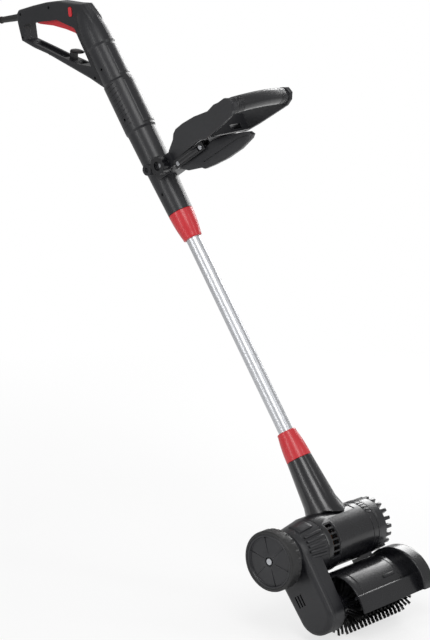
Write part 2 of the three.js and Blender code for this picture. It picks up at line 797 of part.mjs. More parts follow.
function hoodPiece() {
  const shellBand = arcBand(hoodOuter - hoodWall, hoodOuter, hoodFromDegrees, hoodToDegrees);
  const stepBand = arcBand(hoodOuter - hoodWall, hoodOuter + hoodStepHeight, hoodFromDegrees, hoodToDegrees);
  const rootBand = arcBand(hoodOuter - hoodWall, hoodOuter, hoodRootFromDegrees, hoodToDegrees);
  const archBand = arcBand(archRadius - archWall, archRadius, archFromDegrees, archToDegrees, archShiftY, archShiftZ);
  const rootLeft = bearingWallRight - overrun + gap;
  const shell = plate(shellBand, hoodLeft, archLeft + archWall, 0, 1, hoodSteps);
  const step = plate(stepBand, hoodStepLeft, hoodStepRight, 0, 1, hoodSteps);
  const root = plate(rootBand, armRight + gap, hoodLeft + overrun, 0, 1, hoodRootSteps);
  const arch = plate(archBand, archLeft, hoodRight, 0, 1, archSteps);

  const from = Math.PI - THREE.MathUtils.degToRad(archFromDegrees);
  const to = Math.PI - THREE.MathUtils.degToRad(archToDegrees);
  const sector = new THREE.Shape();
  sector.moveTo(archShiftY, archShiftZ);
  sector.absarc(archShiftY, archShiftZ, archRadius - archWall / 2, from, to, true);
  sector.closePath();
  const hole = rodX(archLeft - overrun, archLeft + archWall + overrun, hoodOuter - hoodWall, roundSides);
  const archSide = cut(plate(sector, archLeft, archLeft + archWall, 0, 1, archSteps), hole);
  const cheekHub = rodX(hoodRight - cheekThickness, hoodRight, 2 * brushBearingOuter, mediumSides);
  const cheek = join(plate(sector, hoodRight - cheekThickness, hoodRight, 0, 1, archSteps), cheekHub);

  const skirtOutline = outlineOf([
    [-hoodOuter + hoodWall, skirtTopZ],
    [skirtTopY + skirtLedge, skirtTopZ + hoodWall],
    [skirtTopY, skirtTopZ],
    [skirtFootY, skirtFootZ],
    [skirtFootY + skirtWall, skirtFootZ],
    [skirtTopY + skirtWall, skirtTopZ - skirtWall],
    [-hoodOuter + hoodWall, skirtTopZ - hoodWall],
  ]);
  const skirt = plate(skirtOutline, skirtLeft, hoodRight);
  const slotBand = arcBand(
    archRadius - 2 * archWall,
    archRadius + overrun,
    archSlotFromDegrees,
    archSlotToDegrees,
    archShiftY,
    archShiftZ,
  );
  const slot = plate(slotBand, archSlotLeft, archSlotLeft + archSlotWidth, 0, 1, 6);
  const bushHole = rodX(archLeft, hoodRight + overrun, brushBearingOuter + gap, smallSides);
  const barTop = hoodOuter + hoodStepHeight + hoodBarHeight;
  const flat = block(hoodBarLeft, hoodBarRight, -hoodBarHalf, hoodBarHalf, hoodOuter - hoodWall / 2, barTop);
  const bar = flat.rotate([90 - hoodBarDegrees, 0, 0]);
  const whole = cut(join(shell, step, root, arch, archSide, cheek, skirt, bar), slot, bushHole);
  const drumClear = rodX(rootLeft, 2 * hoodRight, drumRadius + runningGap, roundSides, 0, brushDrop);
  return piece("brush_hood", cut(whole, drumClear), blackShell);
}

// Bracket between the drum and the hood
const bracketLeft = 20;
const bracketRight = 50;
const bracketHalf = 10;
const bracketReach = 8;

function hoodBracketPiece() {
  const foot = -brushDrop + hoodOuter - bracketReach;
  const body = block(bracketLeft, bracketRight, -bracketHalf, bracketHalf, foot, -drumRadius + overrun);
  const drumFace = flatsAt(drumRadius + gap, roundSides);
  const drum = rodX(bracketLeft - overrun, bracketRight + overrun, drumFace, roundSides);
  const hoodTop = flatsAt(hoodOuter + hoodStepHeight + gap, roundSides);
  const hood = rodX(bracketLeft - overrun, bracketRight + overrun, hoodTop, roundSides, 0, -brushDrop);
  return piece("hood_bracket", cut(body, drum, hood), blackShell);
}

// Shaft tube, its red collars and the lead inside
const tubeSeat = 52;
const tubeTop = handleFoot + tubeSeat;
const lowerCollarTop = 190;
const collarNarrowRadius = 16.5;
const collarHeight = 50;
const upperCollarRadius = 21.4;
const collarEdge = 1.5;
const leadFoot = 46;
const leadRise = 100;
const leadTop = handleFoot + leadRise;

function collarPiece(name, wideEnd, narrowEnd, wideRadius) {
  const way = Math.sign(narrowEnd - wideEnd);
  const middle = (wideEnd + narrowEnd) / 2;
  const profile = [
    [wideEnd, 0],
    [wideEnd, wideRadius],
    [middle, (wideRadius + collarNarrowRadius) / 2 + collarEdge / 2],
    [narrowEnd - way * collarEdge, collarNarrowRadius],
    [narrowEnd, collarNarrowRadius - collarEdge],
    [narrowEnd, 0],
  ];
  const low = Math.min(wideEnd, narrowEnd) - overrun;
  const high = Math.max(wideEnd, narrowEnd) + overrun;
  return piece(name, cut(turnZ(profile, handleSides), rodZ(low, high, shaftTubeRadius + gap, mediumSides)), signalRed);
}

function shaftPieces() {
  const bore = rodZ(tubeFoot - overrun, tubeTop + overrun, shaftTubeRadius - shaftTubeWall, mediumSides);
  const tube = cut(rodZ(tubeFoot, tubeTop, shaftTubeRadius, mediumSides), bore);
  return [
    piece("shaft_tube", tube, polishedTube),
    collarPiece("lower_collar", neckTop + gap, lowerCollarTop, neckTopRadius),
    collarPiece("upper_collar", handleFoot - gap, handleFoot - collarHeight, upperCollarRadius),
    piece("inner_lead", rodZ(leadFoot, leadTop, leadRadius, tinySides), softBlack),
  ];
}

// Rear handle: a left and a right shell with the body, the grip, the rear post and the lower rail
const bodyRadius = 27;
const bodyShares = [
  [0, 0.8],
  [0.12, 0.85],
  [0.25, 0.9],
  [0.385, 0.935],
  [0.395, 1],
  [0.62, 0.995],
  [0.63, 0.92],
  [0.79, 0.905],
  [0.8, 0.97],
  [0.86, 0.93],
  [0.92, 0.8],
  [0.965, 0.6],
  [1, 0.25],
];
const loopReach = 148;
const loopRise = 209;
const loopOuterShares = [
  [-0.12, 0.1],
  [-0.14, 0.55],
  [-0.1, 0.68],
  [0.015, 0.73],
  [0.22, 0.835],
  [0.405, 0.897],
  [0.618, 0.951],
  [0.75, 0.98],
  [0.838, 1],
  [0.885, 0.986],
  [0.94, 0.914],
  [1, 0.77],
  [0.87, 0.65],
  [0.72, 0.535],
  [0.47, 0.306],
  [0.29, 0.141],
  [0.155, 0],
  [0.1, -0.12],
];
const loopInnerShares = [
  [0.62, 0.8],
  [0.851, 0.866],
  [0.925, 0.755],
  [0.733, 0.603],
  [0.56, 0.462],
  [0.33, 0.29],
  [0.18, 0.215],
  [0.17, 0.44],
  [0.16, 0.56],
  [0.35, 0.712],
];
const loopHalfWidth = 15;
const loopEdgeRound = 4.5;
const handleWall = 3;
const bodyBoreDrop = 56;
const bodyBoreTop = bodyTopZ - bodyBoreDrop;
const gripCavityHalf = 9;
const railSlotHalf = 10;
const railChannelShares = [
  [
    [0.85, 0.76],
    [0.875, 0.68],
    [0.72, 0.557],
    [0.52, 0.372],
    [0.5, 0.46],
  ],
  [
    [0.405, 0.37],
    [0.405, 0.268],
    [0.345, 0.213],
    [0.325, 0.32],
  ],
];
const pivotY = -38;
const pivotRise = 74;
const pivotZ = handleFoot + pivotRise;
const pivotBossRadius = 15;
const pivotBlockHalf = 22;
const pivotBoltRadius = 4;
const pivotCapY = -8;
const pivotCapRise = 7;
const pivotCapZ = pivotZ + pivotCapRise;
const pivotCapRadius = 9.5;
const pivotCapLeft = -40;
const pivotCapSink = 3;
const screwWellRadius = 2.6;
const screwWellDepth = 3;
const screwWellShares = [
  [0.383, 0.84],
  [0.83, 0.955],
  [0.955, 0.785],
  [0.69, 0.525],
  [0.2, 0.115],
];
const bodyScrewRises = [178, 274, 36];
const bandTicks = 4;
const bandTickRise = 186;
const bandTickFoot = handleFoot + bandTickRise;
const bandTickPitch = 9;
const bandTickHeight = 1.4;
const bandTickDepth = 1;
const bandTickHalf = 12;

// Points of a table of shares, in the loop's own place
function loopPoints(shares) {
  return shares.map(([y, z]) => [y * loopReach, loopFootZ + z * loopRise]);
}

function handleBody() {
  const height = bodyTopZ - handleFoot;
  const profile = bodyShares.map(([z, radius]) => [handleFoot + z * height, radius * bodyRadius]);
  const closed = [[handleFoot, 0], ...profile, [bodyTopZ, 0]];
  return turnZ(closed, handleSides);
}

function handlePieces() {
  const outer = plate(outlineOf(loopPoints(loopOuterShares)), -loopHalfWidth, loopHalfWidth, loopEdgeRound, 2);
  const innerOutline = outlineOf(loopPoints(loopInnerShares));
  const hole = plate(innerOutline, -loopHalfWidth - overrun, loopHalfWidth + overrun);
  const loop = cut(outer, hole);
  const blockTop = pivotZ + pivotBossRadius;
  const pivotBlock = join(
    rodX(-pivotBlockHalf, pivotBlockHalf, pivotBossRadius, mediumSides, pivotY, pivotZ),
    block(-pivotBlockHalf, pivotBlockHalf, pivotY, 0, pivotZ - pivotBossRadius, blockTop),
  );
  const pivotCap = cut(
    rodX(pivotCapLeft, 0, pivotCapRadius, mediumSides, pivotCapY, pivotCapZ),
    rodX(pivotCapLeft - overrun, pivotCapLeft + pivotCapSink, pivotCapRadius / 2, knobSides, pivotCapY, pivotCapZ),
  );
  let whole = join(handleBody(), pivotBlock, pivotCap);
  whole = cut(whole, hole);
  whole = join(whole, loop);

  const tubeBore = rodZ(handleFoot - overrun, tubeTop + gap, shaftTubeRadius + gap, mediumSides);
  const roomFoot = tubeTop + 2 * handleWall;
  const room = rodZ(roomFoot, bodyBoreTop, bodyShares[0][1] * bodyRadius - handleWall, mediumSides);
  const leadWay = rodZ(tubeTop - overrun, roomFoot + overrun, leadRadius + gap, tinySides);
  const boltWay = rodX(
    -2 * pivotBlockHalf,
    2 * pivotBlockHalf,
    pivotBoltRadius + gap,
    smallSides,
    pivotY,
    pivotZ,
  );
  whole = cut(whole, tubeBore, room, leadWay, boltWay, triggerPocket(), switchRoom(), lockWay(), sleeveWay());
  whole = cut(whole, ...railPockets(), ...screwWells(), ...bodyTicks(), hookSeat());

  const far = 2 * bodyTopZ;
  const leftSide = block(-far, -gap / 2, -far, far, -far, far);
  const rightSide = block(gap / 2, far, -far, far, -far, far);
  return [
    piece("handle_shell_left", whole.intersect(leftSide), darkShell),
    piece("handle_shell_right", whole.intersect(rightSide), darkShell),
  ];
}

// Two lengths of the open channel along the top of the lower rail
function railPockets() {
  return railChannelShares.map((shares) => plate(outlineOf(loopPoints(shares)), -railSlotHalf, railSlotHalf));
}

// Round wells for the shell screws, in the left side
function screwWells() {
  const left = -bodyRadius - overrun;
  const loopWells = loopPoints(screwWellShares).map(([y, z]) =>
    rodX(-loopHalfWidth - overrun, -loopHalfWidth + screwWellDepth, screwWellRadius, tinySides, y, z),
  );
  const wellEnd = -bodyShares[0][1] * bodyRadius + screwWellDepth / 2;
  const bodyWells = bodyScrewRises.map((rise) => rodX(left, wellEnd, screwWellRadius, tinySides, 0, handleFoot + rise));
  return [...loopWells, ...bodyWells];
}

// Short moulded lines down the left side of the body
function bodyTicks() {
  const ticks = [];
  for (let i = 0; i < bandTicks; i += 1) {
    const z = bandTickFoot + bandTickPitch * i;
    const deep = -bodyRadius + bandTickDepth;
    ticks.push(block(-bodyRadius - overrun, deep, -bandTickHalf, bandTickHalf, z, z + bandTickHeight));
  }
  return ticks;
}

// Trigger, hinged at the rear of the grip
const triggerPinShare = [0.655, 0.835];
const triggerPinRadius = 2.2;
const triggerHalf = 7;
const triggerShares = [
  [0.69, 0.812],
  [0.66, 0.792],
  [0.49, 0.71],
  [0.335, 0.615],
  [0.225, 0.535],
  [0.19, 0.47],
  [0.15, 0.47],
  [0.13, 0.56],
  [0.3, 0.715],
  [0.35, 0.742],
  [0.61, 0.86],
  [0.68, 0.86],
];
const pocketShares = [
  [0.697, 0.806],
  [0.697, 0.866],
  [0.605, 0.869],
  [0.331, 0.774],
  [0.276, 0.752],
  [0.078, 0.612],
  [0.08, 0.508],
  [0.142, 0.46],
  [0.203, 0.455],
  [0.405, 0.579],
  [0.642, 0.722],
];

function triggerPieces() {
  const [[pinY, pinZ]] = loopPoints([triggerPinShare]);
  const trigger = cut(
    plate(outlineOf(loopPoints(triggerShares)), -triggerHalf, triggerHalf, gap * 4, 2),
    rodX(-2 * triggerHalf, 2 * triggerHalf, triggerPinRadius + gap, smallSides, pinY, pinZ),
  );
  const pinEnd = triggerHalf + gap + handleWall;
  return [
    piece("trigger", trigger, signalRed),
    piece("trigger_pin", rodX(-pinEnd + gap, pinEnd - gap, triggerPinRadius, smallSides, pinY, pinZ), plainSteel),
  ];
}

// The space that the trigger sweeps and its pin's seats
function triggerPocket() {
  const [[pinY, pinZ]] = loopPoints([triggerPinShare]);
  const half = triggerHalf + runningGap;
  const pinEnd = triggerHalf + gap + handleWall;
  const pinSeat = rodX(-pinEnd, pinEnd, triggerPinRadius + gap, smallSides, pinY, pinZ);
  return join(pinSeat, plate(outlineOf(loopPoints(pocketShares)), -half, half));
}

// Switch in the grip, above the trigger
const switchShares = [
  [0.27, 0.804],
  [0.432, 0.859],
  [0.456, 0.823],
  [0.314, 0.773],
];
const switchRoomGrowth = 1.06;
const switchHalf = 8;

function switchRoom() {
  const points = loopPoints(switchShares);
  const middleY = points.reduce((sum, [y]) => sum + y, 0) / points.length;
  const middleZ = points.reduce((sum, [, z]) => sum + z, 0) / points.length;
  const grown = points.map(([y, z]) => [
    middleY + (y - middleY) * switchRoomGrowth,
    middleZ + (z - middleZ) * switchRoomGrowth,
  ]);
  return plate(outlineOf(grown), -switchHalf - gap, switchHalf + gap);
}

function switchPiece() {
  return piece("switch_block", plate(outlineOf(loopPoints(switchShares)), -switchHalf, switchHalf), softBlack);
}

// Lock-off button in the left side of the grip
const lockCentreShare = [0.105, 0.69];
const lockLength = 17;
const lockHalf = 3.6;
const lockTiltDegrees = 28;
const lockProud = 2.4;
const lockTravel = 3;
const lockInnerX = -8.8;

function lockOutline(grow) {
  const half = lockHalf + grow;
  const straight = (lockLength - 2 * lockHalf) / 2;
  const shape = new THREE.Shape();
  shape.absarc(0, straight, half, 0, Math.PI, false);
  shape.absarc(0, -straight, half, Math.PI, 2 * Math.PI, false);
  shape.closePath();
  return shape;
}

function lockSolid(grow, x0, x1, round) {
  const [[y, z]] = loopPoints([lockCentreShare]);
  return plate(lockOutline(grow), x0, x1, round, 1, 5).rotate([lockTiltDegrees, 0, 0]).translate([0, y, z]);
}

function lockWay() {
  return lockSolid(runningGap, -2 * bodyRadius, lockInnerX + lockTravel + gap, 0);
}

function lockPiece() {
  const face = -loopHalfWidth - lockProud;
  return piece("lock_button", lockSolid(0, face, lockInnerX, gap * 4), signalRed);
}

// Cable sleeve at the top of the rear post
const sleeveRootShare = [0.87, 0.945];
const sleeveRiseDegrees = 23;
const sleeveLength = 76;
const sleeveSeat = 16;
const sleeveRadius = 5.4;
const sleeveRootRadius = 6.6;
const sleeveLipRadius = 6.4;
const sleeveLipLength = 3;
const sleeveBore = 4.1;
const sleeveFlangeRadius = 8;
const sleeveFlangeLength = 3;

// Turns a solid along Z to the sleeve's way out and puts it at its root
function atSleeve(solid) {
  const [[y, z]] = loopPoints([sleeveRootShare]);
  return solid.rotate([sleeveRiseDegrees - 90, 0, 0]).translate([0, y, z]);
}

function sleeveWay() {
  const way = rodZ(-sleeveSeat, sleeveLength, sleeveRootRadius + gap, smallSides);
  const groove = rodZ(-sleeveSeat - gap, -sleeveSeat + sleeveFlangeLength + gap, sleeveFlangeRadius + gap, smallSides);
  return atSleeve(join(way, groove));
}

function sleevePiece() {
  const end = sleeveLength - sleeveSeat;
  const profile = [
    [-sleeveSeat, 0],
    [-sleeveSeat, sleeveFlangeRadius],
    [-sleeveSeat + sleeveFlangeLength, sleeveFlangeRadius],
    [-sleeveSeat + sleeveFlangeLength, sleeveRootRadius],
    [0, sleeveRootRadius],
    [end - 2 * sleeveLipLength, sleeveRadius],
    [end - sleeveLipLength, sleeveRadius],
    [end - sleeveLipLength, sleeveLipRadius],
    [end, sleeveLipRadius],
    [end, 0],
  ];
  const bore = rodZ(-sleeveSeat + sleeveFlangeLength, end + overrun, sleeveBore, smallSides);
  return piece("cable_sleeve", atSleeve(cut(turnZ(profile, smallSides), bore)), softBlack);
}

// Cable hook on the lower rail
const hookShare = [0.455, 0.39];
const hookHalf = 5;
const hookStalkHalf = 5;
const hookRise = 13;
const hookSeatDepth = 6;
const hookTiltDegrees = 38;
const hookHeadWidth = 9;
const hookHeadReach = 15;
const hookHeadThickness = 4;
const hookHeadShift = -8;

function atHook(solid) {
  const [[y, z]] = loopPoints([hookShare]);
  return solid.rotate([hookTiltDegrees, 0, 0]).translate([0, y, z]);
}

function hookSeat() {
  const half = hookStalkHalf + gap;
  const side = hookHalf + gap;
  return atHook(block(-side, side, -half, half, -hookSeatDepth - gap, hookRise));
}

function hookPiece() {
  const ball = new THREE.SphereGeometry(1, smallSides, tinySides);
  ball.scale(hookHeadWidth, hookHeadReach, hookHeadThickness);
  ball.translate(0, hookHeadShift, hookRise);
  const stalk = block(-hookHalf, hookHalf, -hookStalkHalf, hookStalkHalf, -hookSeatDepth, hookRise);
  return piece("cable_hook", atHook(join(stalk, solidOf(ball))), blackShell);
}

// Front handle: two leaf-shaped side walls that spread to a bowed grip bar, in the pivot's own place
const armRootInner = 24;
const armRootWall = 8;
const armRootHalf = 12;
const armSpread = 42;
const armBendStart = 26;
const handReach = 212;
const leafHeight = 42;
const leafFootShare = -0.18;
const gripBarRadius = 13.5;
const gripBarRise = 2;
const gripBarBow = 9;
const gripBarHalf = 60;
const gripBarSteps = 6;
const gripBarSides = 6;
const sideWall = 7;
const leafShares = [
  [0.11, -0.24],
  [0.13, leafFootShare],
  [0.51, leafFootShare],
  [0.6, -0.36],
  [0.72, -0.38],
  [1, -0.36],
  [1.05, -0.24],
  [1.08, 0],
  [1.07, 0.24],
  [1.02, 0.38],
  [0.94, 0.41],
  [0.87, 0.48],
  [0.77, 0.45],
  [0.59, 0.67],
  [0.42, 0.79],
  [0.31, 0.81],
  [0.26, 0.73],
  [0.22, 0.56],
  [0.11, 0.32],
];
const webStart = 56;
const webEnd = 136;
const webThickness = 5;
const webRise = 0;
const crossFoot = -15;
const crossTop = 14;
const crossHoleLeft = 6;
const crossHoleRight = 32;
const crossHoleFoot = -11;
const crossHoleTop = -2;
const knobCount = 8;
const auxKnobRadius = 16;
const auxKnobWidth = 13;
const auxKnobGroove = 1.6;
const auxNutRadius = 8;
const auxNutWidth = 6;
const armBossRadius = 14.6;
const armMiddleRoot = armRootInner + gap + sideWall / 2;

// How far the middle of a side wall stands from the centre plane at one reach
function armMiddle(reach) {
  const share = Math.max(0, (reach - armBendStart) / (handReach - armBendStart));
  return armMiddleRoot + share * armSpread;
}

// One side wall: a leaf outline that leans outwards from its root to the grip
function sideArm(side) {
  const points = leafShares.map(([reach, rise]) => [-reach * handReach, rise * leafHeight]);
  const half = sideWall / 2;
  const leaf = plate(outlineOf(points), -half, half, gap * 4, 1).warp((vertex) => {
    vertex[0] += armMiddle(-vertex[1]);
  });
  const rootLeft = armRootInner + gap;
  const root = block(rootLeft, rootLeft + sideWall, -armBendStart - overrun, 0, -armRootHalf, armRootHalf);
  const boss = rodX(rootLeft, rootLeft + armRootWall, armBossRadius, mediumSides);
  const arm = join(leaf, root, boss);
  return side > 0 ? arm : arm.mirror([1, 0, 0]);
}

// A slab between the middles of the side walls
function betweenArms(fromReach, toReach, fromRise, toRise) {
  const outline = outlineOf([
    [-armMiddle(fromReach), -fromReach],
    [armMiddle(fromReach), -fromReach],
    [armMiddle(toReach), -toReach],
    [-armMiddle(toReach), -toReach],
  ]);
  const geometry = new THREE.ExtrudeGeometry(outline, { depth: toRise - fromRise, bevelEnabled: false });
  geometry.translate(0, 0, fromRise);
  return solidOf(geometry);
}

// The bowed bar across the front, as a tube along a curve
function gripBar(radius, half) {
  const points = [];
  for (let i = 0; i <= gripBarSteps; i += 1) {
    const x = half * ((2 * i) / gripBarSteps - 1);
    const share = x / armMiddle(handReach);
    points.push(new THREE.Vector3(x, -handReach - gripBarBow * (1 - share * share), gripBarRise));
  }
  const curve = new THREE.CatmullRomCurve3(points);
  const ring = new THREE.Shape();
  ring.absarc(0, 0, radius, 0, 2 * Math.PI, false);
  const geometry = new THREE.ExtrudeGeometry(ring, {
    steps: gripBarSteps,
    extrudePath: curve,
    curveSegments: gripBarSides,
  });
  return solidOf(geometry);
}

function auxPieces() {
  const reach = 2 * armMiddle(handReach);
  const barEnd = armMiddle(handReach);
  const web = betweenArms(webStart, webEnd, webRise, webRise + webThickness);
  const cross = betweenArms(webEnd - webThickness, webEnd, crossFoot, crossTop);
  const crossHole = block(crossHoleLeft, crossHoleRight, -webEnd - overrun, -webStart, crossHoleFoot, crossHoleTop);
  const coreRadius = gripBarRadius - webThickness / 2;
  const middle = block(-gripBarHalf, gripBarHalf, -2 * handReach, 0, -leafHeight, leafHeight);
  const ends = cut(gripBar(gripBarRadius, barEnd), middle);
  const bossWay = rodX(-reach, reach, pivotBoltRadius + gap, smallSides);
  const bar = join(gripBar(coreRadius, barEnd), ends);
  const frame = cut(join(sideArm(-1), sideArm(1), web, cut(cross, crossHole), bar), bossWay);
  const tubeHalf = gripBarHalf - gap;
  const tubeReach = block(-tubeHalf, tubeHalf, -2 * handReach, 0, -leafHeight, leafHeight);
  const gripTube = cut(gripBar(gripBarRadius, barEnd).intersect(tubeReach), gripBar(coreRadius + gap, barEnd));

  const knobLeft = -armRootInner - gap - armRootWall - gap - auxKnobWidth;
  const knobRight = knobLeft + auxKnobWidth;
  let knob = rodX(knobLeft, knobRight, auxKnobRadius, knobCount * 2);
  for (let i = 0; i < knobCount; i += 1) {
    const groove = rodX(knobLeft - overrun, knobRight + overrun, 2 * auxKnobGroove, tinySides, 0, auxKnobRadius + auxKnobGroove / 2);
    knob = cut(knob, groove.rotate([(360 / knobCount) * i, 0, 0]));
  }
  const sink = rodX(knobLeft - overrun, knobLeft + auxKnobWidth / 3, auxKnobRadius / 2, mediumSides);
  knob = cut(knob, sink, rodX(knobLeft, knobRight + overrun, pivotBoltRadius + gap, smallSides));
  const nutLeft = armRootInner + gap + armRootWall + gap;
  const boltEnd = nutLeft + auxNutWidth;
  const bolt = rodX(knobLeft + auxKnobWidth / 2, boltEnd - gap, pivotBoltRadius, smallSides);
  const nut = cut(
    rodX(nutLeft, nutLeft + auxNutWidth, auxNutRadius, knobSides),
    rodX(nutLeft - overrun, boltEnd + overrun, pivotBoltRadius + gap, smallSides),
  );
  return [
    piece("front_handle", frame, darkShell),
    piece("front_grip", gripTube, softBlack),
    piece("tilt_knob", knob, blackShell),
    piece("tilt_bolt", bolt, plainSteel),
    piece("tilt_nut", nut, plainSteel),
  ];
}

// Clamp lever under the left wall of the front handle, in a block with two cross pins
const leverPinReach = 39;
const leverPinDrop = 16;
const blockLength = 74;
const blockTop = leverPinDrop + leafFootShare * leafHeight - gap;
const blockFoot = -7;
const blockEnd = 8;
const blockSide = 4;
const blockRoof = 2;
const blockBarrelRadius = 5;
const blockBarrelStart = 5;
const blockBarrelEnd = 53;
const leverHalf = 5;
const leverCentreX = -30;
const leverPinRadius = 2.5;
const leverPinHead = 4;
const leverPinHeadHeight = 1.6;
const frontPinReach = 58;
const leverLength = 158;
const leverHeight = 30;
const leverShares = [
  [-0.035, 0.1],
  [-0.035, -0.25],
  [0.06, -0.63],
  [0.24, -0.95],
  [0.27, -1.1],
  [0.39, -1.22],
  [0.6, -1.36],
  [0.82, -1.38],
  [1, -1.24],
  [1.045, -1.1],
  [1.02, -0.87],
  [0.92, -0.63],
  [0.75, -0.33],
  [0.54, -0.05],
  [0.42, -0.12],
  [0.32, -0.24],
  [0.19, -0.17],
  [0.05, 0.1],
  [0, 0.15],
];
const leverGrooveShares = [
  [0.3, -0.78],
  [0.85, -0.86],
  [0.98, -1],
  [0.98, -0.94],
  [0.85, -0.79],
  [0.3, -0.72],
];
const leverGrooveDepth = 1.5;

function leverPieces() {
  const shape = outlineOf(leverShares.map(([reach, rise]) => [-reach * leverLength, rise * leverHeight]));
  const groove = outlineOf(leverGrooveShares.map(([reach, rise]) => [-reach * leverLength, rise * leverHeight]));
  const left = leverCentreX - leverHalf;
  const right = leverCentreX + leverHalf;
  const pinWay = rodX(left - overrun, right + overrun, leverPinRadius + gap, smallSides);
  const lever = cut(
    plate(shape, left, right, gap * 4, 2),
    plate(groove, left - overrun, left + leverGrooveDepth),
    pinWay,
  );

  const blockLeft = left - gap - blockSide;
  const blockRight = right + gap + blockSide;
  const roofUnder = blockTop - blockRoof;
  const slot = block(left - gap, right + gap, -2 * blockLength, 2 * blockLength, 2 * blockFoot, roofUnder);
  const pinHole = rodX(blockLeft - overrun, blockRight + overrun, leverPinRadius + gap, smallSides);
  const farHole = pinHole.translate([0, -frontPinReach, 0]);
  const barrel = rodZ(blockBarrelStart, blockBarrelEnd, blockBarrelRadius, smallSides).rotate([90, 0, 0]);
  const body = join(
    block(blockLeft, blockRight, blockEnd - blockLength, blockEnd, blockFoot, blockTop),
    barrel.translate([blockLeft + overrun / 2, 0, 0]),
  );
  const yoke = cut(body, slot, pinHole, farHole);
  const pin = turnX(
    [
      [blockLeft - gap - leverPinHeadHeight, 0],
      [blockLeft - gap - leverPinHeadHeight, leverPinHead - leverPinHeadHeight / 2],
      [blockLeft - gap - leverPinHeadHeight / 2, leverPinHead],
      [blockLeft - gap, leverPinHead],
      [blockLeft - gap, leverPinRadius],
      [blockRight, leverPinRadius],
      [blockRight, 0],
    ],
    smallSides,
  );
  return [
    piece("clamp_lever", lever, darkShell),
    piece("lever_block", yoke, blackShell),
    piece("lever_pin_rear", pin, plainSteel),
    piece("lever_pin_front", pin.translate([0, -frontPinReach, 0]), plainSteel),
  ];
}

// The whole machine, in its shaft frame and then leaned back to the user
const brush = new THREE.Group();
brush.add(...brushPieces(), hoodPiece());
brush.position.z = -brushDrop;

const lever = new THREE.Group();
lever.add(...leverPieces());
lever.position.set(0, -leverPinReach, -leverPinDrop);

const frontHandle = new THREE.Group();
frontHandle.add(...auxPieces(), lever);
frontHandle.position.set(0, pivotY, pivotZ);

const head = new THREE.Group();
head.add(...wheelPieces(), ...beltCasePieces(), ...beltPieces(), ...motorShellPieces());
head.add(endCapPiece(), ...motorPieces(), hoodBracketPiece(), brush);

const rearHandle = new THREE.Group();
rearHandle.add(...handlePieces(), ...triggerPieces(), switchPiece(), lockPiece(), sleevePiece(), hookPiece());

const machine = new THREE.Group();
machine.add(head, ...shaftPieces(), rearHandle, frontHandle);
machine.position.set(0, -gripPlaceY, -gripPlaceZ);

const group = new THREE.Group();
group.add(machine);
group.rotation.x = -THREE.MathUtils.degToRad(leanDegrees);

const part = new THREE.Group();
part.add(group);

export default part;
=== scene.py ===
# %% [markdown]
# # An electric surface brush
# The machine is a long shaft with a motor drum and a roller brush at its foot, a handle with a
# trigger at its head, and a second handle in front. Its solids come packed, in metres, and this
# lesson dresses them: it adds the pieces that make the surface rich, and gives each one a finish.

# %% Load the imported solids
import json
import math

import bmesh
import bpy
from mathutils import Matrix, Vector


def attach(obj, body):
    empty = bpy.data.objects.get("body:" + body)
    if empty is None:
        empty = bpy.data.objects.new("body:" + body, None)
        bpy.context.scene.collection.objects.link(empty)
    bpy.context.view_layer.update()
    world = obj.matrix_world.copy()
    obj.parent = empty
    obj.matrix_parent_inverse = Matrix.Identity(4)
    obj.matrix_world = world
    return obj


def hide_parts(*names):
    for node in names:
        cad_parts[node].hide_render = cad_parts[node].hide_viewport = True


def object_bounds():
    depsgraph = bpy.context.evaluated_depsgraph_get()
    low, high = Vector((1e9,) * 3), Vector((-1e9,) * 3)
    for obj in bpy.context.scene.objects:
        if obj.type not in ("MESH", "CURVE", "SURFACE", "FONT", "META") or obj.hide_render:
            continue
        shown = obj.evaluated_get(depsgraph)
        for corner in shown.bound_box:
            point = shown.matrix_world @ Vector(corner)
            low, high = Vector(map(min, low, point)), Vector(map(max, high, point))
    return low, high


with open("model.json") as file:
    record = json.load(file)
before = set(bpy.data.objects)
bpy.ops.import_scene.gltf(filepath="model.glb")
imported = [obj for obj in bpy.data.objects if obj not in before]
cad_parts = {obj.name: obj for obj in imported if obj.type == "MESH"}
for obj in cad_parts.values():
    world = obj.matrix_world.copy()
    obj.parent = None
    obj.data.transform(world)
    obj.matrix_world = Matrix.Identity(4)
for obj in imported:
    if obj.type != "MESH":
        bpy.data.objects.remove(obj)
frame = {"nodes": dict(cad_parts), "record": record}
cad_low, cad_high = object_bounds()
nodes = frame["nodes"]
print("solids", len(nodes), "box", cad_low[:], cad_high[:])

# %% [markdown]
# ## Two frames
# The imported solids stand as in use, with the shaft leaning back. Most pieces are easier to place
# along the shaft, so places are written in millimetres in the tool's own frame: x across, y
# towards the user, z up the shaft, from the point where the shaft meets the motor axis. One
# matrix takes such a place to the scene.

# %% From the tool's frame to the scene's
MM = 0.001
LEAN = math.radians(34)
GRIP_Y = 62
GRIP_Z = 1019
BRUSH_DROP = 107
TO_SCENE = (
    Matrix.Rotation(-LEAN, 4, "X")
    @ Matrix.Diagonal((MM, MM, MM, 1))
    @ Matrix.Translation((0, -GRIP_Y, -GRIP_Z))
)


def tool(x, y, z):
    """A place in the tool's frame, in millimetres, as a point of the scene."""
    return TO_SCENE @ Vector((x, y, z))


print("drum at", tool(0, 0, 0)[:], "rear grip at", tool(0, GRIP_Y, GRIP_Z)[:])

# %% [markdown]
# ## A camera that matches the photograph
# The object is 4.5 metres away through a long lens, so its lines stay nearly parallel. The
# camera's own axes come from an azimuth, an elevation and a slight roll.

# %% Camera
VIEW_AZIMUTH = math.radians(-48.893)
VIEW_ELEVATION = math.radians(13.791)
VIEW_ROLL = math.radians(-0.344)
VIEW_DISTANCE = 4.5
VIEW_TARGET = tool(-38.78, 0, 404.7)
PICTURE_HEIGHT = 640
FOCAL_PIXELS = 2729
SENSOR = 36


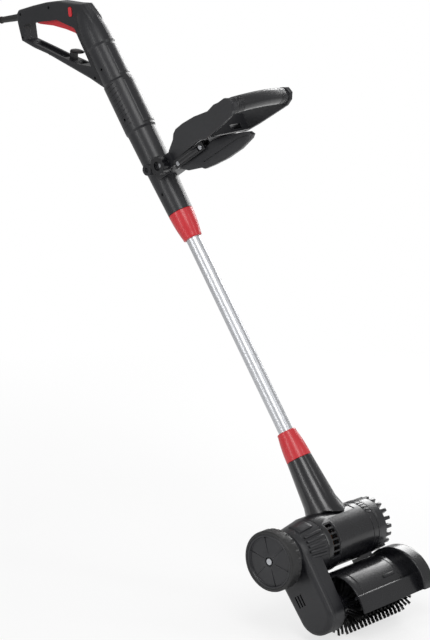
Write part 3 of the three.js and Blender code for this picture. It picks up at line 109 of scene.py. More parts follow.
def put(name, data):
    """A new object with this data, linked to the scene."""
    made = bpy.data.objects.new(name, data)
    bpy.context.scene.collection.objects.link(made)
    return made


back = Vector(
    (
        math.sin(VIEW_AZIMUTH) * math.cos(VIEW_ELEVATION),
        -math.cos(VIEW_AZIMUTH) * math.cos(VIEW_ELEVATION),
        math.sin(VIEW_ELEVATION),
    )
)
level_right = Vector((math.cos(VIEW_AZIMUTH), math.sin(VIEW_AZIMUTH), 0))
level_up = back.cross(level_right)
right = math.cos(VIEW_ROLL) * level_right + math.sin(VIEW_ROLL) * level_up
up = math.cos(VIEW_ROLL) * level_up - math.sin(VIEW_ROLL) * level_right
camera_data = bpy.data.cameras.new("camera")
camera_data.sensor_width = SENSOR
camera_data.lens = FOCAL_PIXELS / PICTURE_HEIGHT * SENSOR
camera_data.clip_end = 100
camera = put("camera", camera_data)
turn = Matrix((right, up, back)).transposed().to_4x4()
camera.matrix_world = Matrix.Translation(VIEW_TARGET + back * VIEW_DISTANCE) @ turn
bpy.context.scene.camera = camera
bpy.context.scene.view_settings.view_transform = "Standard"
print("camera at", camera.location[:], "lens", round(camera_data.lens, 1))

# %% [markdown]
# ## Node trees written as sums
# Shader and geometry trees both grow quickly. One small class adds nodes to a tree, and another
# wraps a socket, so that a pattern is written as the sum it is.


# %% A socket that can be added and multiplied
class Wire:
    """An output socket that takes part in plain arithmetic."""

    def __init__(self, graph, socket):
        self.graph = graph
        self.socket = socket

    def math(self, operation, *others):
        node = self.graph.node("ShaderNodeMath", {"operation": operation}, [self, *others])
        return Wire(self.graph, node.outputs[0])

    def __add__(self, other):
        return self.math("ADD", other)

    def __mul__(self, other):
        return self.math("MULTIPLY", other)

    def __sub__(self, other):
        return self.math("SUBTRACT", other)

    def __truediv__(self, other):
        return self.math("DIVIDE", other)

    def __mod__(self, other):
        return self.math("MODULO", other)

    def __rsub__(self, other):
        return self.math("MULTIPLY", -1).math("ADD", other)

    __radd__ = __add__
    __rmul__ = __mul__


class Graph:
    """A node tree, with one way to add a node and fill in its sockets."""

    def __init__(self, tree):
        self.tree = tree

    def node(self, kind, settings=None, values=()):
        made = self.tree.nodes.new(kind)
        for key, value in (settings or {}).items():
            setattr(made, key, value)
        pairs = values.items() if isinstance(values, dict) else enumerate(values)
        for key, value in pairs:
            self.plug(made.inputs[key], value)
        return made

    def plug(self, socket, value):
        if isinstance(value, Wire):
            self.tree.links.new(value.socket, socket)
        elif value is not None:
            socket.default_value = value

    def wire(self, kind, settings=None, values=(), output=0):
        return Wire(self, self.node(kind, settings, values).outputs[output])


# %% A geometry tree with named inputs
class Recipe(Graph):
    """A geometry tree whose inputs are listed as names under each kind of socket."""

    def __init__(self, name, inputs):
        super().__init__(bpy.data.node_groups.new(name, "GeometryNodeTree"))
        self.sockets = {}
        for kind, labels in inputs.items():
            for label in labels:
                self.sockets[label] = self.declare(label, "INPUT", kind)
        self.declare("Geometry", "OUTPUT", "Geometry")
        given = self.node("NodeGroupInput")
        self.ask = {label: Wire(self, given.outputs[label]) for label in self.sockets}

    def declare(self, label, way, kind):
        socket = self.tree.interface.new_socket(label, in_out=way, socket_type="NodeSocket" + kind)
        return socket.identifier

    def ending(self, geometry):
        self.node("NodeGroupOutput", None, [geometry])
        return self

    def plain_ending(self, copies):
        """Makes the copies real, gives them the finish that was asked for, and ends the tree."""
        real = self.wire("GeometryNodeRealizeInstances", None, [copies])
        values = {"Geometry": real, "Material": self.ask["Finish"]}
        return self.ending(self.wire("GeometryNodeSetMaterial", None, values))


# %% [markdown]
# ## Finishes
# Moulded plastic isn't one flat colour: its grain breaks the highlights, its gloss drifts and
# handling leaves paler patches. Each finish mixes two colours by a slow noise and sends a fine
# noise to the bump. The numbers that stay even are set on the shader itself.


# %% A finish from colours, gloss and grain
COAT_ROUGHNESS = 0.12
EDGE_WIDTH = 0.9
EDGE_SAMPLES = 4
EDGE_EASE = 0.7
EDGE_GAIN = 6
DRIFT_SIZE = 60
DRIFT_GLOSS = 0.12
GRAIN_GLOSS = 0.06
WEAR_SIZE = 9
WEAR_GLOSS = 0.1
METAL_DRIFT_SIZE = 80
METAL_DRIFT_GLOSS = 0.08
METAL_LINE_GLOSS = 0.16


class Finish(Graph):
    """A material with a principled shader, patterned in the tool's own millimetres."""

    def __init__(self, name, metallic=0.0, coat=0.0):
        self.material = bpy.data.materials.new(name)
        self.material.use_nodes = True
        super().__init__(self.material.node_tree)
        self.shader = self.tree.nodes["Principled BSDF"]
        self.shader.inputs["Metallic"].default_value = metallic
        self.shader.inputs["Coat Weight"].default_value = coat
        self.shader.inputs["Coat Roughness"].default_value = COAT_ROUGHNESS
        place = self.wire("ShaderNodeTexCoord", output="Object")
        shift = {
            "Vector": place,
            "Location": (0, GRIP_Y, GRIP_Z),
            "Rotation": (LEAN, 0, 0),
            "Scale": (1 / MM, 1 / MM, 1 / MM),
        }
        self.place = self.wire("ShaderNodeMapping", None, shift)

    def noise(self, size, detail=2.0, stretch=(1, 1, 1)):
        """A noise from 0 to 1 whose patches are about size millimetres across."""
        spread = self.wire("ShaderNodeMapping", None, {"Vector": self.place, "Scale": stretch})
        values = {"Vector": spread, "Scale": 1 / size, "Detail": detail}
        return self.wire("ShaderNodeTexNoise", None, values)

    def mix(self, share, first, second):
        """A colour between two, by a share from 0 to 1."""
        return self.blend(share, (*first, 1), second)

    def blend(self, share, first, second):
        """A colour between a wired one and a plain one."""
        values = {0: share, 6: first, 7: (*second, 1)}
        return self.wire("ShaderNodeMix", {"data_type": "RGBA"}, values, output=2)

    def rounded(self, width):
        """The normal of a surface whose edges were eased by a width in millimetres."""
        return self.wire("ShaderNodeBevel", {"samples": EDGE_SAMPLES}, {"Radius": width * MM})

    def edges(self, width):
        """A mask that is 1 along edges, where the eased normal turns from the plain one."""
        plain = self.wire("ShaderNodeNewGeometry", output=1)
        pair = [self.rounded(width), plain]
        likeness = self.wire("ShaderNodeVectorMath", {"operation": "DOT_PRODUCT"}, pair, output=1)
        return ((1 - likeness) * EDGE_GAIN).math("MINIMUM", 1)

    def dress(self, colour, roughness, height=None, depth=0.05, soft=0.0):
        """Plugs in a colour, a roughness, a bump and an edge ease, both in millimetres."""
        self.plug(self.shader.inputs["Base Color"], colour)
        self.plug(self.shader.inputs["Roughness"], roughness)
        if height is not None:
            values = {"Height": height, "Strength": 1.0, "Distance": depth * MM}
            if soft:
                values["Normal"] = self.rounded(soft)
            bump = self.wire("ShaderNodeBump", None, values)
            self.plug(self.shader.inputs["Normal"], bump)
        return self.material


# %% Plastic and metal
def plastic(name, dark, pale, gloss, grain=0.9, depth=0.03, coat=0.0, wear=1.6):
    """Moulded plastic with a grain, a slow drift of colour and gloss, and paler worn edges."""
    finish = Finish(name, coat=coat)
    drift = finish.noise(DRIFT_SIZE, 3)
    fine = finish.noise(grain, 1)
    rough = gloss + (drift - 0.5) * DRIFT_GLOSS + (fine - 0.5) * GRAIN_GLOSS
    body = finish.mix(drift, dark, pale)
    if not wear:
        return finish.dress(body, rough, fine, depth)
    worn = finish.edges(EDGE_WIDTH) * finish.noise(WEAR_SIZE, 2)
    scuffed = tuple(min(1.0, part * wear) for part in pale)
    colour = finish.blend(worn, body, scuffed)
    return finish.dress(colour, rough + worn * WEAR_GLOSS, fine, depth, EDGE_EASE)


def metal(name, dark, pale, gloss, stretch=(1, 1, 1), grain=0.5, depth=0.01):
    """Bare metal with fine lines drawn along one direction."""
    finish = Finish(name, metallic=1.0)
    lines = finish.noise(grain, 2, stretch)
    drift = finish.noise(METAL_DRIFT_SIZE, 2)
    rough = gloss + (lines - 0.5) * METAL_LINE_GLOSS + (drift - 0.5) * METAL_DRIFT_GLOSS
    return finish.dress(finish.mix(lines, dark, pale), rough, lines, depth)


# %% The finishes and their slots
CHARCOAL = plastic("charcoal_plastic", (0.0052, 0.0054, 0.007), (0.0108, 0.0112, 0.0142), 0.4, coat=0.06)
BLACK = plastic("black_plastic", (0.0036, 0.0037, 0.0048), (0.0078, 0.008, 0.0102), 0.27, 0.9, 0.012, 0.2)
RUBBER = plastic("soft_rubber", (0.006, 0.006, 0.0065), (0.012, 0.012, 0.0125), 0.5, 0.6, 0.05)
RED = plastic("red_plastic", (0.5, 0.012, 0.02), (0.58, 0.022, 0.032), 0.36, 1.4, 0.004, 0.12, wear=0)
TUBE = metal("drawn_tube", (0.5, 0.51, 0.53), (0.62, 0.63, 0.65), 0.38, (1, 1, 0.01), 0.8, 0.002)
STEEL = metal("turned_steel", (0.36, 0.37, 0.39), (0.6, 0.61, 0.63), 0.34, (0.05, 1, 1))
COPPER = metal("copper_winding", (0.36, 0.14, 0.06), (0.62, 0.28, 0.13), 0.36, (0.05, 1, 1))
NYLON = plastic("pale_nylon", (0.6, 0.58, 0.52), (0.7, 0.68, 0.62), 0.45, wear=0)
BRISTLE = plastic("bristle_nylon", (0.002, 0.002, 0.0022), (0.006, 0.006, 0.0065), 0.35, 0.4, 0.01, wear=0)
# Near-black and matte: painted shade, used on the screws in their wells and on the grip lines.
PAINTED_SHADE_BLACK = plastic("line_black", (0.0008, 0.0008, 0.0009), (0.002, 0.002, 0.0022), 0.85, wear=0)

SLOT_FINISHES = {
    "dark_shell": CHARCOAL,
    "black_shell": BLACK,
    "soft_black": RUBBER,
    "red_plastic": RED,
    "bright_tube": TUBE,
    "steel": STEEL,
    "copper": COPPER,
    "bristle_nylon": BRISTLE,
    "pale_nylon": NYLON,
}
for subpart in frame["record"]["subparts"]:
    solid = nodes[subpart["node"]]
    solid.data.materials.clear()
    solid.data.materials.append(SLOT_FINISHES[subpart["material_slot"]])
print("finishes", len(SLOT_FINISHES))

# %% [markdown]
# ## Round shading on faceted solids
# The solids are flat triangles, but the real mouldings are smooth. A short geometry tree joins
# the loose triangles, shades every face smooth and keeps an edge sharp where the two faces meet
# at a clear angle, which is smaller on the handles, as their shells have small steps. It is a
# modifier, so the solids themselves are left alone.

# %% Smooth shading recipe
SHARP_DEGREES = 32
STEPPED_DEGREES = 20
STEPPED = ("handle_shell_left", "handle_shell_right", "front_handle")


def shading_recipe():
    graph = Recipe("round_shading", {"Geometry": ["Geometry"], "Float": ["Sharp Angle"]})
    merge = {"Geometry": graph.ask["Geometry"], "Distance": 0.01 * MM}
    merged = graph.wire("GeometryNodeMergeByDistance", None, merge)
    smooth = graph.wire("GeometryNodeSetShadeSmooth", {"domain": "FACE"}, [merged, True, True])
    angle = graph.wire("GeometryNodeInputMeshEdgeAngle")
    sharp = angle.math("GREATER_THAN", graph.ask["Sharp Angle"])
    return graph.ending(
        graph.wire("GeometryNodeSetShadeSmooth", {"domain": "EDGE"}, [smooth, sharp, False])
    )


shading = shading_recipe()
for name, solid in nodes.items():
    modifier = solid.modifiers.new("round_shading", "NODES")
    modifier.node_group = shading.tree
    degrees = STEPPED_DEGREES if name in STEPPED else SHARP_DEGREES
    modifier[shading.sockets["Sharp Angle"]] = math.radians(degrees)
print("shaded", len(nodes))

# %% [markdown]
# ## Helpers for new pieces
# A piece is a mesh whose places are already in the scene's metres, so its object stays at the
# origin. Every piece gets a finish, that of its record slot unless another is given, and rides on
# a body of the machine.
# Much of the machine is turned: a lathe sets rows of points round an axis, and a skin joins them.


# %% Make and mount a piece
PLAIN = Matrix.Identity(4)


def mesh_piece(name, mesh, body, slot, *replaced, finish=None, smooth=SHARP_DEGREES):
    """Mounts a mesh as a piece, with the finish of its slot unless another is given."""
    piece = put(name, mesh)
    mesh.materials.clear()
    mesh.materials.append(finish or SLOT_FINISHES[slot])
    mesh.shade_smooth()
    mesh.set_sharp_from_angle(angle=math.radians(smooth))
    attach(piece, body)
    if replaced:
        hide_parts(*replaced)
    print(name, "on", body, "with", len(mesh.polygons), "faces")


def built(name, fill, place=TO_SCENE):
    """A mesh filled in by a function of a bmesh in tool millimetres, then put in its place."""
    shape = bmesh.new()
    fill(shape)
    shape.transform(place)
    bmesh.ops.recalc_face_normals(shape, faces=shape.faces)
    mesh = bpy.data.meshes.new(name)
    shape.to_mesh(mesh)
    shape.free()
    return mesh


def built_piece(name, fill, body, slot, *replaced, place=TO_SCENE, **looks):
    """A piece straight from the function that fills in its shape."""
    mesh_piece(name, built(name, fill, place), body, slot, *replaced, **looks)


# %% Skin and lathe
LIE = Matrix.Rotation(math.radians(90), 3, "Y")
UPRIGHT = Matrix.Identity(3)
FINE_SIDES = 96
CORNER = 0.8


def skin(shape, rows, closed=False):
    """Faces between each row of points and the next; a row of one point makes a tip."""
    for first, second in zip(rows, rows[1:] + rows[: int(closed)]):
        count = max(len(first), len(second))
        for i in range(count):
            j = (i + 1) % count
            corners = [first[i % len(first)], first[j % len(first)]]
            corners += [second[j % len(second)], second[i % len(second)]]
            shape.faces.new(list(dict.fromkeys(corners)))


def circle(sides):
    """The cosine and sine of each even step round a circle."""
    angles = [2 * math.pi * i / sides for i in range(sides)]
    return [(math.cos(angle), math.sin(angle)) for angle in angles]


def lathe(shape, profile, sides=FINE_SIDES, turn=LIE, lift=0.0, closed=False):
    """Turns (along, radius) pairs round an axis; an open end on the axis closes in a point."""
    rows = []
    for along, radius in profile:
        ring = [Vector((radius * c, radius * s, along)) for c, s in circle(sides if radius else 1)]
        rows.append([shape.verts.new(turn @ point + Vector((0, 0, lift))) for point in ring])
    skin(shape, rows, closed)


# %% [markdown]
# ## The bristles
# The roller carries rows of tufts, each a bundle of stiff nylon strands. A geometry tree sets
# out the strands by counting: the strand's number gives its row, its tuft and its place in the
# bundle. Seeded noise leans each strand a little, as in a used brush.

# %% Bristle sizes
BRUSH_LEFT = -80.5
BRUSH_LENGTH = 154
CORE_RADIUS = 20.3
BACKING_RADIUS = 24
BRUSH_RADIUS = 48
TUFT_ROWS = 20
TUFTS_PER_ROW = 15
STRANDS_PER_TUFT = 14
TUFT_RADIUS = 1.5
STRAND_RADIUS = 0.46
STRAND_SIDES = 5
END_MARGIN = 6
SPLAY = 0.014
BUNDLE_TURN = 2.4
BUNDLE_SPREAD = 0.008
TIP_SHARE = 0.75
SHORTEST_STRAND = 0.97
ROOT_DEPTH = 1
TIP_GAP = 0.2
BACKING_EASE = 0.5
BACKING_SIDES = 64
STRAND_SEED = 7
STRIPS = ("bristle_strip_1", "bristle_strip_2", "bristle_strip_3", "bristle_strip_4")
ROLLER_PLACE = TO_SCENE @ Matrix.Translation((0, 0, -BRUSH_DROP))
print("strands", TUFT_ROWS * TUFTS_PER_ROW * STRANDS_PER_TUFT)


# %% The strand recipe
def strand_recipe():
    inputs = {
        "Int": ["Rows", "Tufts", "Strands", "Seed"],
        "Float": ["Left", "Pitch", "Root Radius", "Length", "Tuft Radius", "Strand Radius", "Splay"],
        "Material": ["Finish"],
    }
    graph = Recipe("bristle_strands", inputs)
    ask = graph.ask
    count = ask["Rows"] * ask["Tufts"] * ask["Strands"]
    number = graph.wire("GeometryNodeInputIndex")
    tuft = (number / ask["Strands"]).math("FLOOR")
    row = (tuft / ask["Tufts"]).math("FLOOR")
    step = tuft - row * ask["Tufts"]
    angle = (row + 0.5) / ask["Rows"] * (2 * math.pi)
    along = ask["Left"] + ask["Pitch"] * (step + (row % 2) * 0.5)

    def chance(shift, low=-1.0, high=1.0):
        values = {2: low, 3: high, "ID": number, "Seed": ask["Seed"] + shift}
        return graph.wire("FunctionNodeRandomValue", {"data_type": "FLOAT"}, values, output=1)

    place_in_tuft = number - tuft * ask["Strands"]
    bundle = place_in_tuft * BUNDLE_TURN
    reach = (place_in_tuft / ask["Strands"]).math("SQRT") * ask["Tuft Radius"]
    across = reach * bundle.math("COSINE")
    around = reach * bundle.math("SINE")
    turned = angle + around / ask["Root Radius"]
    ring = [turned.math("COSINE") * ask["Root Radius"], turned.math("SINE") * ask["Root Radius"]]
    root = graph.wire("ShaderNodeCombineXYZ", None, [along + across, *ring])
    lean = chance(1) * ask["Splay"] + across * BUNDLE_SPREAD
    leaned = turned + chance(2) * ask["Splay"]
    way = graph.wire("ShaderNodeCombineXYZ", None, [lean, leaned.math("COSINE"), leaned.math("SINE")])
    rotation = graph.wire("FunctionNodeAlignRotationToVector", {"axis": "Z"}, {"Vector": way})

    cone = {
        "Vertices": STRAND_SIDES,
        "Side Segments": 1,
        "Radius Top": ask["Strand Radius"] * TIP_SHARE,
        "Radius Bottom": ask["Strand Radius"],
        "Depth": ask["Length"],
    }
    strand = graph.wire("GeometryNodeMeshCone", {"fill_type": "TRIANGLE_FAN"}, cone)
    size = graph.wire("ShaderNodeCombineXYZ", None, [1.0, 1.0, chance(3, SHORTEST_STRAND, 1.0)])
    points = graph.wire("GeometryNodePoints", None, {"Count": count, "Position": root})
    placed = {"Points": points, "Instance": strand, "Rotation": rotation, "Scale": size}
    return graph.plain_ending(graph.wire("GeometryNodeInstanceOnPoints", None, placed))


STRAND = strand_recipe()
print("strand recipe asks for", ", ".join(STRAND.sockets))


# %% Run a recipe
def grown(name, recipe, values, seed_mesh=None):
    """Runs a recipe once, on a mesh where it needs one, and returns a plain mesh."""
    grower = put(name + "_grower", seed_mesh or bpy.data.meshes.new(name))
    modifier = grower.modifiers.new("grow", "NODES")
    modifier.node_group = recipe.tree
    for key, value in values.items():
        modifier[recipe.sockets[key]] = value
    graph = bpy.context.evaluated_depsgraph_get()
    mesh = bpy.data.meshes.new_from_object(grower.evaluated_get(graph))
    bpy.data.objects.remove(grower)
    return mesh


# %% Grow the bristles and their backing
strand_values = {
    "Rows": TUFT_ROWS,
    "Tufts": TUFTS_PER_ROW,
    "Strands": STRANDS_PER_TUFT,
    "Left": float(BRUSH_LEFT + END_MARGIN),
    "Pitch": (BRUSH_LENGTH - 2 * END_MARGIN) / (TUFTS_PER_ROW - 0.5),
    "Root Radius": float(BACKING_RADIUS - ROOT_DEPTH),
    "Length": float(BRUSH_RADIUS - BACKING_RADIUS + ROOT_DEPTH - TIP_GAP),
    "Tuft Radius": TUFT_RADIUS,
    "Strand Radius": STRAND_RADIUS,
    "Splay": SPLAY,
    "Seed": STRAND_SEED,
    "Finish": BRISTLE,
}
strands = grown("roller_bristles", STRAND, strand_values)
strands.transform(ROLLER_PLACE)
mesh_piece("roller_bristles", strands, "roller", "bristle_nylon", *STRIPS)


def fill_backing(shape):
    left = BRUSH_LEFT
    right_end = BRUSH_LEFT + BRUSH_LENGTH
    low = BACKING_RADIUS - BACKING_EASE
    profile = [(left, CORE_RADIUS), (left, low), (left + BACKING_EASE, BACKING_RADIUS)]
    profile += [(right_end - BACKING_EASE, BACKING_RADIUS), (right_end, low), (right_end, CORE_RADIUS)]
    lathe(shape, profile, BACKING_SIDES, closed=True)


built_piece("bristle_backing", fill_backing, "roller", "black_shell", place=ROLLER_PLACE)

# %% [markdown]
# ## Rounded shapes and cuts
# The mouldings have eased edges everywhere. A bar is a block with rounded edges, and a sheet is a
# curved grid of faces that is given a wall, with the cells of a slot left out. Boolean cuts are
# made once by a modifier and kept as a plain mesh.


# %% Bar, sheet and cut
def bar(shape, low, high, ease, segments=3):
    """A block between two corners, with rounded edges."""
    made = bmesh.ops.create_cube(shape, size=1)["verts"]
    low, high = Vector(low), Vector(high)
    for vertex in made:
        vertex.co = Vector([(a + b) / 2 + c * (b - a) for a, b, c in zip(low, high, vertex.co)])
    edges = list(dict.fromkeys(edge for vertex in made for edge in vertex.link_edges))
    bmesh.ops.bevel(shape, geom=made + edges, offset=ease, segments=segments, profile=0.5, affect="EDGES")


def sheet(shape, across, along, point, wall, left_out=lambda i, j: False):
    """A curved grid with a wall behind it; left_out names the cells of its openings."""
    grid = [[shape.verts.new(point(a, b, 0)) for b in along] for a in across]
    under = [[shape.verts.new(point(a, b, wall)) for b in along] for a in across]
    cells = {
        (i, j)
        for i in range(len(across) - 1)
        for j in range(len(along) - 1)
        if not left_out(i, j)
    }
    for i, j in cells:
        ring = [(i, j), (i + 1, j), (i + 1, j + 1), (i, j + 1)]
        shape.faces.new([grid[a][b] for a, b in ring])
        shape.faces.new([under[a][b] for a, b in reversed(ring)])
        sides = {(-1, 0): (ring[3], ring[0]), (1, 0): (ring[1], ring[2])}
        sides.update({(0, -1): (ring[0], ring[1]), (0, 1): (ring[2], ring[3])})
        for (di, dj), ((a, b), (c, d)) in sides.items():
            if (i + di, j + dj) not in cells:
                shape.faces.new([grid[c][d], grid[a][b], under[a][b], under[c][d]])
    loose = [v for row in grid + under for v in row if not v.link_faces]
    bmesh.ops.delete(shape, geom=loose, context="VERTS")


# %% Even steps, eased edges and cuts
def spaced(first, last, count):
    """Even values from first to last."""
    return [first + (last - first) * i / count for i in range(count + 1)]


def swell(near, width):
    """How far a rounded edge has risen: 0 at the edge, 1 from its width on."""
    return math.sqrt(max(0, 1 - (1 - min(near, width) / width) ** 2))


def carved(mesh, tools, operation="DIFFERENCE"):
    """A mesh with others cut from it or joined to it, as a plain mesh."""
    work = put("work", mesh)
    helpers = [put("helper", tool_mesh) for tool_mesh in tools]
    for helper in helpers:
        cut = work.modifiers.new("cut", "BOOLEAN")
        cut.operation = operation
        cut.solver = "EXACT"
        cut.object = helper
    graph = bpy.context.evaluated_depsgraph_get()
    result = bpy.data.meshes.new_from_object(work.evaluated_get(graph))
    for spent in [work, *helpers]:
        bpy.data.objects.remove(spent)
    return result


print("four even steps", spaced(0, 1, 4), "rise at half an edge's width", round(swell(0.5, 1), 3))


# %% [markdown]
# ## Rows round an axis
# Cooling fins, ribs and spokes are one shape repeated round an axis. The tree takes that one
# shape, a count, a first angle and a step, and turns each copy about X. A shift for each step
# makes the same tree set out a straight row.


# %% The row recipe
def row_recipe():
    inputs = {
        "Geometry": ["Geometry"],
        "Int": ["Count"],
        "Float": ["First", "Step"],
        "Vector": ["Shift"],
        "Material": ["Finish"],
    }
    graph = Recipe("row_round_axis", inputs)
    ask = graph.ask
    number = graph.wire("GeometryNodeInputIndex")
    angle = ask["First"] + ask["Step"] * number
    moved = {"Vector": ask["Shift"], "Scale": number}
    place = graph.wire("ShaderNodeVectorMath", {"operation": "SCALE"}, moved)
    euler = graph.wire("ShaderNodeCombineXYZ", None, [angle, 0.0, 0.0])
    rotation = graph.wire("FunctionNodeEulerToRotation", None, [euler])
    points = graph.wire("GeometryNodePoints", None, {"Count": ask["Count"], "Position": place})
    placed = {"Points": points, "Instance": ask["Geometry"], "Rotation": rotation}
    return graph.plain_ending(graph.wire("GeometryNodeInstanceOnPoints", None, placed))


ROW = row_recipe()
print("row recipe asks for", ", ".join(ROW.sockets))


# %% One shape, set out in a row
def row_piece(name, fill, turns, slot, body="housing", place=TO_SCENE, shift=(0, 0, 0), **looks):
    """One upright shape repeated round X: turns are a count, a first angle from the front, a step."""
    count, first, step = turns
    values = {
        "Count": count,
        "First": math.radians(90 - first),
        "Step": -math.radians(step),
        "Shift": [float(part) for part in shift],
        "Finish": looks.get("finish", SLOT_FINISHES[slot]),
    }
    mesh = grown(name, ROW, values, built(name + "_one", fill, PLAIN))
    mesh.transform(place)
    mesh_piece(name, mesh, body, slot, **looks)


# %% [markdown]
# ## The hood over the roller
# The hood is a round cover with a raised band, a groove, a small moulded bar and, at its right
# end, a higher arch with a slot. A straight skirt closes its front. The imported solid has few
# faces, so the long highlight would break; here each wall is a fine curved sheet.

# %% Hood sizes
HOOD_OUTER = 54
HOOD_WALL = 2.4
HOOD_LEFT = -76
HOOD_RIGHT = 88
HOOD_FROM = -4
HOOD_TO = 200
HOOD_ROOT_LEFT = -91.7
HOOD_ROOT_FROM = 56
HOOD_ROOT_GAP = 0.05
BAND_LEFT = -60
BAND_RIGHT = 46
BAND_HEIGHT = 1.2
ARCH_LEFT = 62
ARCH_RADIUS = 64
ARCH_Y = -12
ARCH_Z = -4
ARCH_WALL = 3
ARCH_FROM = -28
ARCH_TO = 150
ARCH_SLOT = (70, 73)
ARCH_SLOT_DEGREES = (72, 98)
CHEEK_WALL = 3.5
HUB_RADIUS = 24
BUSH_SEAT = 12.3
SKIRT_LEFT = -84
SKIRT_POINTS = [(-51.6, -3), (-59.5, -0.6), (-63, -3), (-60, -32)]
SKIRT_WALL = 3
SKIRT_STEPS = 6
SKIRT_ROUNDS = 2
SKIRT_STATIONS = [SKIRT_LEFT, SKIRT_LEFT + 0.5, *spaced(-76, 80, 12), HOOD_RIGHT - 0.6, HOOD_RIGHT]
HOOD_GROOVE = 36
HOOD_GROOVE_HALF = 0.9
HOOD_GROOVE_DEPTH = 1.1
HOOD_LIP = 1.2
HOOD_STATIONS = [HOOD_LEFT, -75.5, -74.8, -66, -60, -59.7, -59.3, -59, -40, -20, 0, 20, 33]
HOOD_STATIONS += [HOOD_GROOVE + step for step in (-1.1, -0.8, 0.8, 1.1)]
HOOD_STATIONS += [45, 45.3, 45.7, 46, 55, 63]
ARCH_STATIONS = [ARCH_LEFT, 62.5, 63.4, 66, *ARCH_SLOT, 78, 84, 86.6, 87.5, HOOD_RIGHT]
ARCH_EASE = 1.4
TUCK = 0.2
COVER_STEPS = 68
ROOT_STEPS = 48
ARCH_STEPS = 89
PLATE_STEPS = 72
BAR_X = (0, 27)
BAR_HALF = 2.6
BAR_FOOT = HOOD_OUTER - 0.5
BAR_TURNS = (1, 13, 0)
BAR_TOP = 57.2
BAR_EASE = 0.9
print("hood", HOOD_RIGHT - HOOD_ROOT_LEFT, "mm long, arch", HOOD_RIGHT - ARCH_LEFT, "mm wide")


# %% Cover, root and arch
def on_arc(radius, degrees, x, y=0.0, z=0.0):
    """A place on a round wall about X: 0 degrees is the front, 90 the top."""
    angle = math.radians(degrees)
    return Vector((x, y - radius * math.cos(angle), z + radius * math.sin(angle)))


def hood_radius(x):
    """The outer radius at a place along the hood, with eased steps at the band."""
    rise = min(max(x - BAND_LEFT, 0), 1) * min(max(BAND_RIGHT - x, 0), 1)
    lip = max(0, HOOD_LEFT + HOOD_LIP - x) / 2
    groove = HOOD_GROOVE_DEPTH if abs(x - HOOD_GROOVE) < HOOD_GROOVE_HALF else 0
    return HOOD_OUTER + BAND_HEIGHT * rise - lip - groove


def fill_cover(shape):
    def point(x, degrees, depth):
        radius = hood_radius(x) if depth == 0 else HOOD_OUTER - HOOD_WALL
        return on_arc(radius, degrees, x)

    sheet(shape, HOOD_STATIONS, spaced(HOOD_FROM, HOOD_TO, COVER_STEPS), point, HOOD_WALL)


def fill_root(shape):
    def point(x, degrees, depth):
        return on_arc(HOOD_OUTER - depth, degrees, x)

    stations = spaced(HOOD_ROOT_LEFT, HOOD_LEFT - HOOD_ROOT_GAP, 4)
    sheet(shape, stations, spaced(HOOD_ROOT_FROM, HOOD_TO, ROOT_STEPS), point, HOOD_WALL)


def fill_arch(shape):
    angles = spaced(ARCH_FROM, ARCH_TO, ARCH_STEPS)

    def point(x, degrees, depth):
        ease = ARCH_EASE * (1 - swell(min(x - ARCH_LEFT, HOOD_RIGHT - x), ARCH_EASE))
        return on_arc(ARCH_RADIUS - (depth or ease), degrees, x, ARCH_Y, ARCH_Z)

    def in_slot(i, j):
        middle = (angles[j] + angles[j + 1]) / 2
        beside = ARCH_STATIONS[i] == ARCH_SLOT[0]
        return beside and ARCH_SLOT_DEGREES[0] < middle < ARCH_SLOT_DEGREES[1]

    sheet(shape, ARCH_STATIONS, angles, point, ARCH_WALL, in_slot)


print("hood radius before, on and after its band", hood_radius(-66), hood_radius(0), hood_radius(55))


# %% Side plates of the arch
def fan_plate(shape, left, right_end, inner):
    """A plate across X that fills the arch from its chord to its rim, round an open middle."""

    def point(x, degrees, depth):
        outer = on_arc(ARCH_RADIUS - ARCH_WALL + TUCK, degrees, x, ARCH_Y, ARCH_Z)
        share = inner / outer.yz.length
        return Vector((x, outer.y * share, outer.z * share)) if depth else outer

    sheet(shape, [left, right_end], spaced(ARCH_FROM, ARCH_TO, PLATE_STEPS), point, 1)


def fill_arch_side(shape):
    fan_plate(shape, ARCH_LEFT + TUCK, ARCH_LEFT + ARCH_WALL, HOOD_OUTER - HOOD_WALL + TUCK / 2)


def fill_cheek(shape):
    fan_plate(shape, HOOD_RIGHT - CHEEK_WALL, HOOD_RIGHT - TUCK, BUSH_SEAT)
    left = HOOD_RIGHT - CHEEK_WALL - TUCK
    hub = [(left, HUB_RADIUS), (HOOD_RIGHT - CORNER, HUB_RADIUS), (HOOD_RIGHT, HUB_RADIUS - CORNER)]
    lathe(shape, hub + [(HOOD_RIGHT, BUSH_SEAT), (left, BUSH_SEAT)], closed=True)


# %% Skirt and bar
def fill_skirt(shape):
    """The front skirt: a folded strip with round corners, along the whole hood."""
    path = []
    for first, second in zip(SKIRT_POINTS, SKIRT_POINTS[1:]):
        path += [Vector(first).lerp(Vector(second), i / SKIRT_STEPS) for i in range(SKIRT_STEPS)]
    path.append(Vector(SKIRT_POINTS[-1]))
    for _ in range(SKIRT_ROUNDS):
        eased_path = [(a + 2 * b + c) / 4 for a, b, c in zip(path, path[1:], path[2:])]
        path = [path[0], *eased_path, path[-1]]

    def point(x, step, depth):
        way = (path[min(step + 1, len(path) - 1)] - path[max(step - 1, 0)]).normalized()
        place = path[step] + Vector((-way.y, way.x)) * depth
        return Vector((x, place.x, place.y))

    sheet(shape, SKIRT_STATIONS, range(len(path)), point, SKIRT_WALL)


def fill_bar(shape):
    bar(shape, (BAR_X[0], -BAR_HALF, BAR_FOOT), (BAR_X[1], BAR_HALF, BAR_TOP), BAR_EASE)


